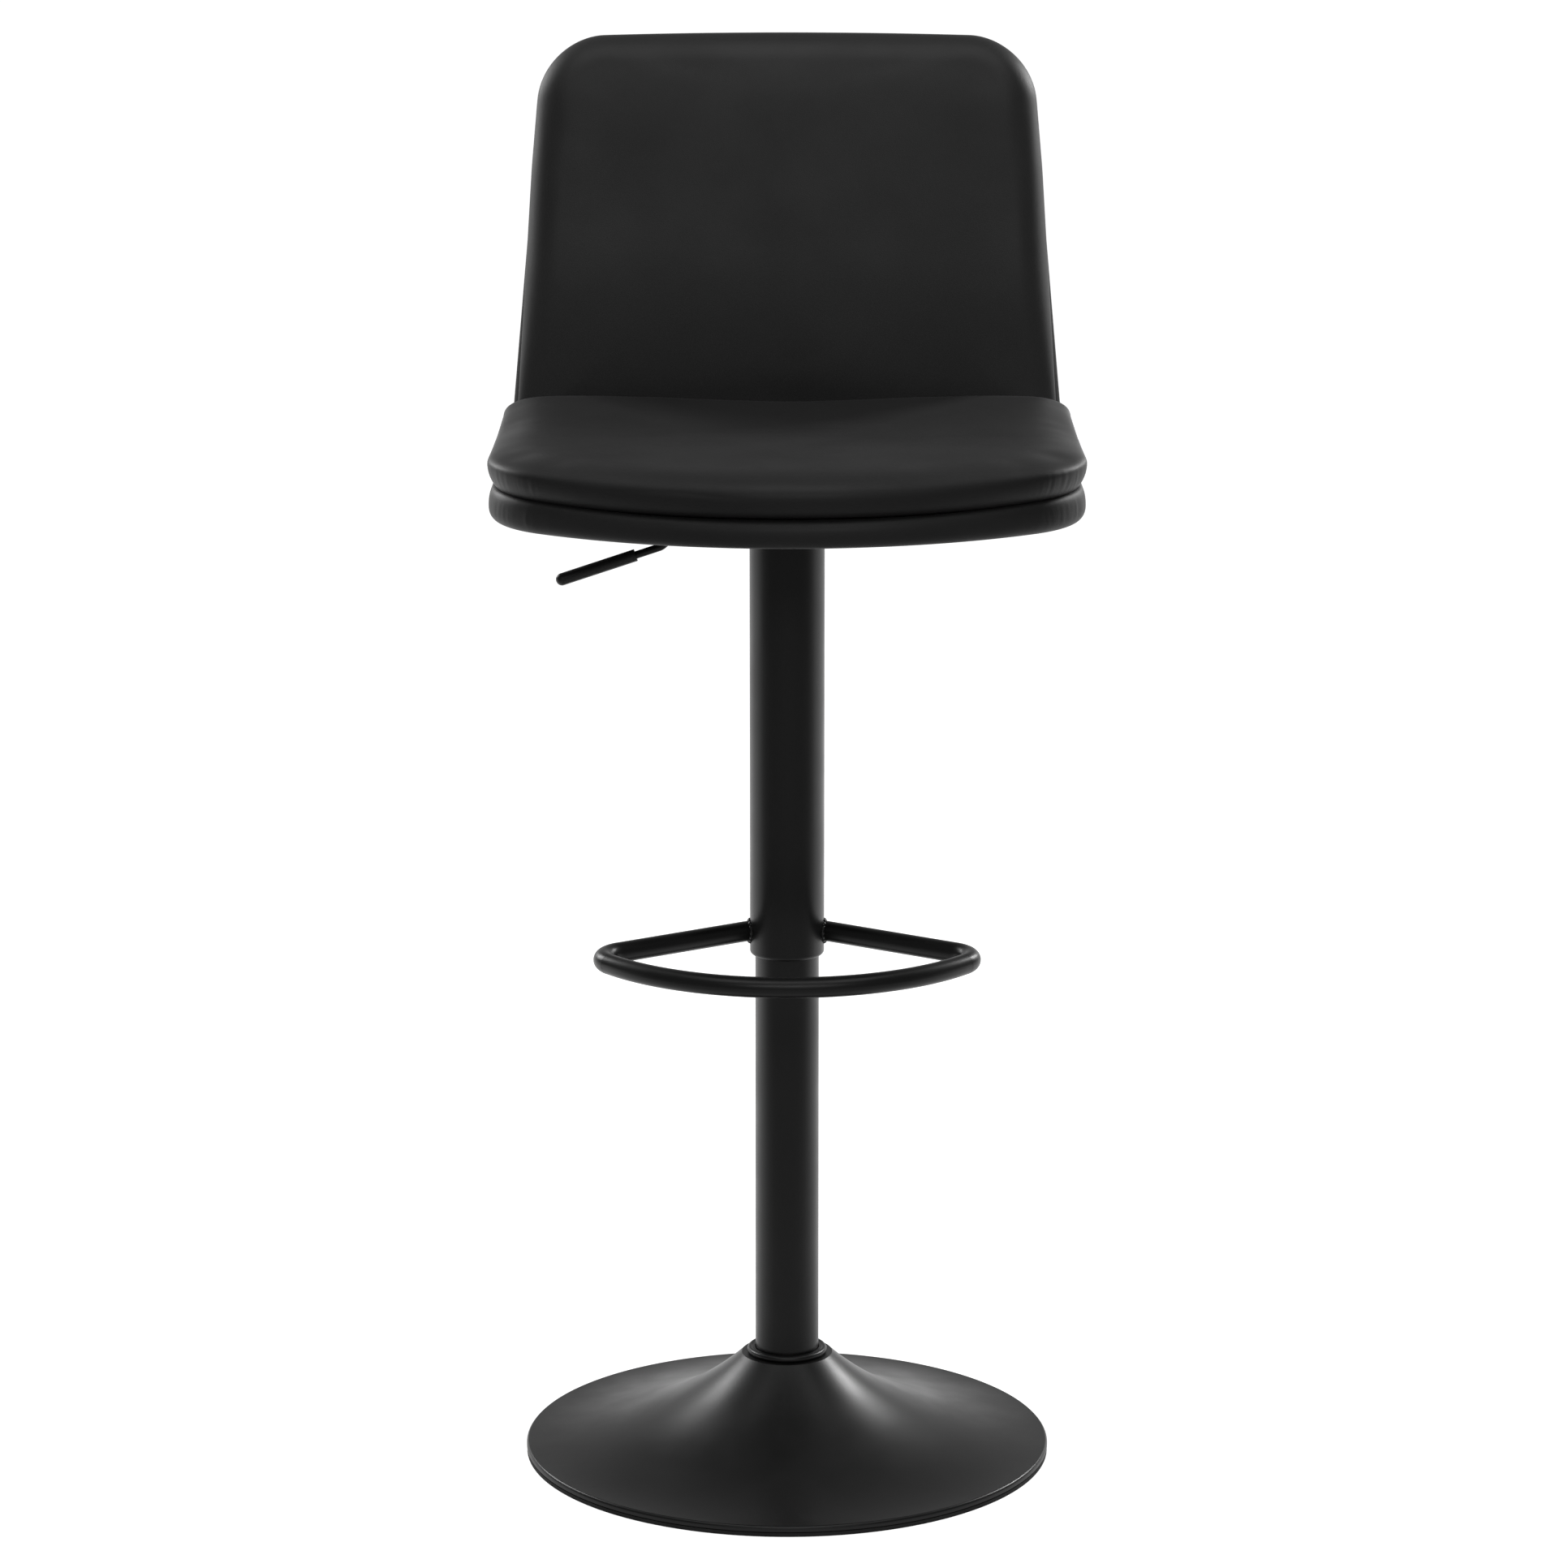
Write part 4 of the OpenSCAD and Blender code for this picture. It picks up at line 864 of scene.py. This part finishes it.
# %% The back's curved frame
def on_back(x, o, s):
    """Points of the bent, leaning back, from arrays of x, o and s."""
    turn = np.arcsin(x / BACK_R)
    s = s - BACK_CROWN * (x / BACK_TOP_W) ** 2 * s / BACK_H
    y = (BACK_R + o) * np.cos(turn) - BACK_R
    x = (BACK_R + o) * np.sin(turn)
    c, k = math.cos(BACK_TILT), math.sin(BACK_TILT)
    return np.stack([x, BACK_Y + y * c + s * k, BACK_Z - y * k + s * c], -1)


def back_half(s):
    """Half the width of the back at height s, with its corners rounded."""
    width = BACK_FOOT_W + (BACK_TOP_W - BACK_FOOT_W) * s / BACK_H
    up = np.maximum(0, s - BACK_H + BACK_CORNER)
    down = np.maximum(0, BACK_HEEL - SHELL_DROP - s)
    return (width - BACK_CORNER + np.sqrt(np.maximum(0, BACK_CORNER ** 2 - up ** 2))
            - BACK_HEEL + np.sqrt(np.maximum(0, BACK_HEEL ** 2 - down ** 2)))


def rolled(distance, width):
    """Share of the full thickness at a distance from an edge that rolls over."""
    t = np.clip(distance / width, 0, 1)
    return np.sqrt(1 - (1 - t) ** 2)


def behind_seam(p):
    """How far points stand behind the seam of the back, negative in front of it."""
    y, z = p[:, 1] - BACK_Y, p[:, 2] - BACK_Z
    across = y * math.cos(BACK_TILT) - z * math.sin(BACK_TILT)
    return np.hypot(p[:, 0], BACK_R + across) - BACK_R


ACROSS = 110
UPWARD = 110


def edge_distance(x, s, foot, inset):
    """The true distance of grid points from the outline, taken as many short straight lines."""
    line = foot + (BACK_H - foot) * (1 - np.cos(np.linspace(0, math.pi, 240))) / 2
    right = np.stack([back_half(line) - inset(line), line], 1)
    edge = np.concatenate([[(0, foot)], right, [(0, BACK_H)]])
    start, run = edge[:-1], np.diff(edge, axis=0)
    far = []
    for p in np.stack([np.abs(x).ravel(), s.ravel()], 1):
        share = ((p - start) * run).sum(1) / np.maximum((run ** 2).sum(1), 1e-12)
        foot_point = start + run * np.clip(share, 0, 1)[:, None]
        far.append(math.sqrt(((foot_point - p) ** 2).sum(1).min()))
    return np.array(far).reshape(x.shape)


def back_pad(name, foot, inset, side, depth, seam=0.0028):
    """A bent pad. depth(x, s, edge) says how far its outer skin stands from the seam."""
    u = np.sin(np.linspace(-math.pi / 2, math.pi / 2, ACROSS))
    v = (1 - np.cos(np.linspace(0, math.pi, UPWARD))) / 2

    s = foot + (BACK_H - foot) * v[:, None] + 0 * u
    x = u * (back_half(s) - inset(s))
    skin = on_back(x, side * depth(x, s, edge_distance(x, s, foot, inset)), s)
    middle = (foot + BACK_H) / 2
    drawn = middle + (s - middle) * (1 - 2 * seam / BACK_H)
    flat = on_back(x * (1 - seam / BACK_TOP_W), np.full_like(x, side * GAP / 2), drawn)
    verts = np.concatenate([skin.reshape(-1, 3), flat.reshape(-1, 3)])
    far = ACROSS * UPWARD
    faces = []
    for j in range(UPWARD - 1):
        for i in range(ACROSS - 1):
            a = j * ACROSS + i
            faces.append((a, a + 1, a + ACROSS + 1, a + ACROSS))
            faces.append((far + a, far + a + ACROSS, far + a + ACROSS + 1, far + a + 1))
    for i in range(ACROSS - 1):
        for a in (i, (UPWARD - 1) * ACROSS + i):
            faces.append((a, far + a, far + a + 1, a + 1))
    for j in range(UPWARD - 1):
        for a in (j * ACROSS, j * ACROSS + ACROSS - 1):
            faces.append((a, far + a, far + a + ACROSS, a + ACROSS))
    return piece(name, verts, faces)


# %% [markdown]
# The pad to lean on is the plump one. It is as wide as the shell at the top, and draws in
# a few millimetres towards its foot, where the shell shows as a narrow edge beside it.

# %% Back cushion
PAD_FOOT = 0.003
PAD_RIM = 0.0035
PAD_ROLL = 0.022
FOOT_INSET = 0.0055
EDGE_SHARE, CROWN_SHARE = 0.78, 0.22


def pad_inset(s):
    """How much narrower the pad is than the shell on each side."""
    return 0.0002 + FOOT_INSET * np.clip(1 - s / 0.22, 0, 1)


def plump(x, s, edge):
    """Full in the middle, and tucked in towards the seat, most of all at the lower corners."""
    corner = (np.abs(x) / BACK_FOOT_W) ** 4
    tucked = (0.009 + 0.008 * corner) * (1 - step(s, 0.00, 0.15))
    crowned = (EDGE_SHARE * rolled(edge, PAD_ROLL)
               + CROWN_SHARE * rolled(edge, 4.5 * PAD_ROLL))
    return PAD_RIM + (PAD_T - 0.002 - PAD_RIM - tucked) * crowned


back = back_pad("back_cushion_pad", PAD_FOOT, pad_inset, -1, plump)
puff(back, lambda p: 1 - step(-behind_seam(p), 0.004, 0.018), cap=0.003)
refine(back, smooth=3)
fit_box(back, *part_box("back_cushion"), axes=(0, 2))
dress(back, "back_leather")
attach(back, "seat_assembly")
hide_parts("back_cushion")
print("back cushion faces:", len(back.data.polygons))

# %% [markdown]
# The shell is firmer. It is at its full thickness a short way in from its edge, while the pad
# in front goes on rising towards its middle. Its foot hangs about a centimetre lower.

# %% Back shell
SHELL_RIM = 0.005
SHELL_ROLL = 0.026


def firm(x, s, edge):
    """The same thickness all over, apart from the rolled edge."""
    return SHELL_RIM + (SHELL_T - 0.0015 - SHELL_RIM) * rolled(edge, SHELL_ROLL)


shell = back_pad("back_shell_pad", -SHELL_DROP, lambda s: 0.0 * s, 1, firm)
puff(shell, lambda p: 1 - step(behind_seam(p), 0.005, 0.014), cap=0.002)
refine(shell, smooth=2)
fit_box(shell, *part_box("back_shell"), axes=(0, 2))
dress(shell, "shell_leather")
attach(shell, "seat_assembly")
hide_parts("back_shell")
print("back shell faces:", len(shell.data.polygons))

# %% [markdown]
# Geometry Nodes suit the pieces that follow a rule or repeat. This helper builds a tree with
# named inputs, runs it on a plain line of points, and keeps the result as a plain mesh.

# %% Helper for Geometry Nodes
SHARP_ABOVE = 35


class Recipe:
    def __init__(self, name, **inputs):
        self.name = name
        self.inputs = inputs
        self.group = bpy.data.node_groups.new(name, "GeometryNodeTree")
        socket = self.group.interface.new_socket
        socket("Geometry", in_out="INPUT", socket_type="NodeSocketGeometry")
        for label, value in inputs.items():
            kind = {int: "Int", float: "Float"}.get(type(value), "Material")
            socket(label, in_out="INPUT", socket_type="NodeSocket" + kind)
        socket("Geometry", in_out="OUTPUT", socket_type="NodeSocketGeometry")
        self.given = self.group.nodes.new("NodeGroupInput").outputs

    def node(self, kind, sockets, **settings):
        """A node; sockets gives its inputs by name or place, as other sockets or values."""
        node = self.group.nodes.new(kind)
        for label, value in settings.items():
            setattr(node, label, value)
        for label, value in sockets.items():
            if isinstance(value, bpy.types.NodeSocket):
                self.group.links.new(value, node.inputs[label])
            else:
                node.inputs[label].default_value = value
        return node.outputs[0]

    def maths(self, operation, a, b=0.0):
        return self.node("ShaderNodeMath", {0: a, 1: b}, operation=operation)

    def run(self, geometry, points, closed):
        """Runs the tree on a line of points and returns the finished piece."""
        real = self.node("GeometryNodeRealizeInstances", {"Geometry": geometry})
        made = self.node("GeometryNodeSetMaterial",
                         {"Geometry": real, "Material": self.given["Material"]})
        end = self.group.nodes.new("NodeGroupOutput")
        self.group.links.new(made, end.inputs[0])
        mesh = bpy.data.meshes.new(self.name)
        count = len(points)
        edges = [(i, (i + 1) % count) for i in range(count if closed else count - 1)]
        mesh.from_pydata([tuple(p) for p in points], edges, [])
        line = bpy.data.objects.new(self.name + "_line", mesh)
        bpy.context.scene.collection.objects.link(line)
        mod = line.modifiers.new(self.name, "NODES")
        mod.node_group = self.group
        for item in self.group.interface.items_tree:
            if item.in_out == "INPUT" and item.name in self.inputs:
                mod[item.identifier] = self.inputs[item.name]
        shown = line.evaluated_get(bpy.context.evaluated_depsgraph_get())
        result = bpy.data.objects.new(self.name, bpy.data.meshes.new_from_object(shown))
        bpy.context.scene.collection.objects.link(result)
        bpy.data.objects.remove(line)
        face_outwards(result.data)
        result.data.set_sharp_from_angle(angle=math.radians(SHARP_ABOVE))
        print("%s: %d faces" % (self.name, len(result.data.polygons)))
        return result


# %% [markdown]
# The base is one steel sheet, spun over a former. Its section is an arc that flares from
# the neck down to a flat rim with a rolled edge. Turning that section round the column in
# many steps keeps the long reflections on it smooth.

# %% Base sheet
base_low, base_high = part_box("base_shell")
FLARE_R = 0.2594
FLARE_C = (0.21445, 0.2678)
NECK_R = 0.036
NECK_BORE = 0.02755
SHEET = 0.002
RIM_ROLL = 0.0025


def base_section():
    """The closed section as (radius, height) pairs."""
    rim_r, neck_top, foot = base_high[0], base_high[2], base_low[2]
    rim_c = (rim_r - RIM_ROLL, foot + 0.002)

    def flare(radius, count):
        reach = np.linspace(NECK_R, rim_c[0] + 0.001, count)
        return np.stack([reach, FLARE_C[1] - np.sqrt(radius ** 2 - (reach - FLARE_C[0]) ** 2)], 1)

    top = flare(FLARE_R, 60)
    under = flare(FLARE_R + SHEET, 60)[::-1]
    roll = arc(rim_c, RIM_ROLL, math.radians(80), 0, 10)
    return np.concatenate([
        [(NECK_BORE, neck_top - SHEET), (NECK_BORE, neck_top)], top, roll,
        [(rim_r, foot), (rim_c[0], foot)], under[under[:, 0] < rim_c[0]]])


spin = Recipe("base_sheet", Neck=0.05, Segments=288, Material=finishes["black_coat"])
ring = spin.node("GeometryNodeCurvePrimitiveCircle",
                 {"Radius": spin.given["Neck"], "Resolution": spin.given["Segments"]})
section = spin.node("GeometryNodeMeshToCurve", {"Mesh": spin.given["Geometry"]})
swept = spin.node("GeometryNodeCurveToMesh", {"Curve": ring, "Profile Curve": section})
base_points = [(r - spin.inputs["Neck"], -z, 0) for r, z in base_section()]
base_sheet = spin.run(swept, base_points, closed=True)
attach(base_sheet, "base")
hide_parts("base_shell")

# %% [markdown]
# Each arm of the footrest is welded to the sleeve all the way round. The weld follows the
# curve where the two tubes meet, and its bead swells a little at every stroke of the torch.

# %% Weld beads
BAR_Z = float(sum(corner[2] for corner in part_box("footrest_bar")) / 2)
BAR_R = 0.008
SLEEVE_R = float(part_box("sleeve_tube")[1][0])
ARM_ANGLE = math.radians(33.5)
ARM_OFF = 0.01606


def meeting_line(hand, count=160):
    """The closed curve where an arm's tube meets the sleeve."""
    turn = np.linspace(0, 2 * math.pi, count, endpoint=False)
    aside = ARM_OFF + BAR_R * np.cos(turn)
    ahead = np.sqrt(SLEEVE_R ** 2 - aside ** 2)
    x = math.sin(ARM_ANGLE) * aside + math.cos(ARM_ANGLE) * ahead
    y = math.cos(ARM_ANGLE) * aside - math.sin(ARM_ANGLE) * ahead
    return np.stack([hand * x, y, BAR_Z + BAR_R * np.sin(turn)], 1)


def weld_bead(name, hand):
    weld = Recipe(name, Bead=0.0019, Strokes=17, Swell=0.16, Material=finishes["black_coat"])
    line = weld.node("GeometryNodeMeshToCurve", {"Mesh": weld.given["Geometry"]})
    along = weld.node("GeometryNodeSplineParameter", {})
    beats = weld.maths("MULTIPLY", along, weld.given["Strokes"])
    beat = weld.maths("MULTIPLY", beats, 2 * math.pi)
    swell = weld.maths("MULTIPLY", weld.maths("SINE", beat), weld.given["Swell"])
    rope = weld.node("GeometryNodeCurvePrimitiveCircle",
                     {"Radius": weld.given["Bead"], "Resolution": 12})
    bead = weld.node("GeometryNodeCurveToMesh", {"Curve": line, "Profile Curve": rope,
                                                 "Scale": weld.maths("ADD", swell, 1.0)})
    return weld.run(bead, meeting_line(hand), closed=True)


def joined(name, parts):
    """Joins finished pieces into one mesh."""
    bpy.ops.object.select_all(action="DESELECT")
    for part in parts:
        part.select_set(True)
    bpy.context.view_layer.objects.active = parts[0]
    bpy.ops.object.join()
    parts[0].name = name
    return parts[0]


welds = joined("weld_beads", [weld_bead("left_weld", -1), weld_bead("right_weld", 1)])
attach(welds, "seat_assembly")
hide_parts("footrest_welds")

# %% [markdown]
# A thin black cloth closes the underside. It is cut out round the mechanism and the strap,
# reaches to just inside the border of the pan's cover, and sags a little in between. It is
# drawn as straight threads from the cut-out to the rim.

# %% Dust cloth
cloth_low, cloth_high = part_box("underside_cloth")
CLOTH_T = 0.0005
CLOTH_SAG = 0.0014
PLATE_HALF = 0.083


def dust_cloth():
    """Rows of points from the edge of the cut-out to the rim, open at the strap."""
    rim = rim_from_rear(PAN_BORDER + 0.001, 300)
    rim = rim[(np.abs(rim[:, 0]) > SLOT_HALF) | (rim[:, 1] < 0)]
    start = int(np.argmax(np.linalg.norm(np.diff(rim, axis=0, prepend=rim[-1:]), axis=1)))
    rim = np.roll(rim, -start, axis=0)
    hole = rim * (PLATE_HALF / np.abs(rim).max(1, keepdims=True))
    rear = hole[:, 1] >= PLATE_HALF - 1e-9
    near_slot = rear & (np.abs(hole[:, 0]) < SLOT_HALF)
    hole[near_slot, 0] = np.sign(hole[near_slot, 0]) * SLOT_HALF
    rows = []
    for share in np.linspace(0, 1, 16):
        flat = hole + (rim - hole) * share
        sag = CLOTH_SAG * math.sin(math.pi * share) ** 0.8 if 0 < share < 1 else 0.0
        rows.append(np.column_stack([flat, np.full(len(flat), cloth_high[2] - 0.0001 - sag)]))
    n = len(rim)
    faces = [(k * n + i, k * n + i + 1, (k + 1) * n + i + 1, (k + 1) * n + i)
             for k in range(len(rows) - 1) for i in range(n - 1)]
    return piece("dust_cloth", np.concatenate(rows), faces)


cloth = dust_cloth()
mod = cloth.modifiers.new("thickness", "SOLIDIFY")
mod.thickness = CLOTH_T
mod.offset = 1.0 if cloth.data.polygons[0].normal.z < 0 else -1.0
bake(cloth, mod)
dress(cloth, "dust_cloth")
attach(cloth, "seat_assembly")
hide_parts("underside_cloth")

# %% [markdown]
# Staples hold the cloth to the board. One small wire is set at even steps along the cloth's
# rim and turned to follow it, with a few degrees of error, as a hand-held stapler leaves.

# %% Staples
def staple_line():
    """A line a little inside the cloth's rim, which stops short of the strap."""
    rim = rim_from_rear(PAN_BORDER + 0.0045, 200)[20:-20]
    return [(x, y, cloth_low[2] + 0.0001) for x, y in rim]


pins = Recipe("cloth_staples", Spacing=0.028, Crown=0.010, Wire=0.0006, Error=0.12, Seed=7,
              Material=finishes["zinc_steel"])
line = pins.node("GeometryNodeMeshToCurve", {"Mesh": pins.given["Geometry"]})
spots = pins.group.nodes.new("GeometryNodeCurveToPoints")
spots.mode = "LENGTH"
pins.group.links.new(line, spots.inputs["Curve"])
pins.group.links.new(pins.given["Spacing"], spots.inputs["Length"])
wide = pins.maths("MULTIPLY", pins.given["Wire"], 2.0)
size = pins.node("ShaderNodeCombineXYZ",
                 {"X": pins.given["Crown"], "Y": wide, "Z": pins.given["Wire"]})
wire = pins.node("GeometryNodeMeshCube", {"Size": size})
turned = pins.node("FunctionNodeAlignRotationToVector", {"Vector": spots.outputs["Tangent"]},
                   axis="X", pivot_axis="Z")
chance = pins.group.nodes.new("FunctionNodeRandomValue")
limits = {"Min": pins.maths("MULTIPLY", pins.given["Error"], -1.0), "Max": pins.given["Error"]}
for socket in chance.inputs:
    if socket.enabled and socket.name in limits:
        pins.group.links.new(limits[socket.name], socket)
pins.group.links.new(pins.given["Seed"], chance.inputs["Seed"])
askew = pins.node("ShaderNodeCombineXYZ", {"Z": next(o for o in chance.outputs if o.enabled)})
facing = pins.node("FunctionNodeRotateRotation", {"Rotation": turned, "Rotate By": askew})
placed = pins.node("GeometryNodeInstanceOnPoints",
                   {"Points": spots.outputs["Points"], "Instance": wire, "Rotation": facing})
staples = pins.run(placed, staple_line(), closed=False)
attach(staples, "seat_assembly")
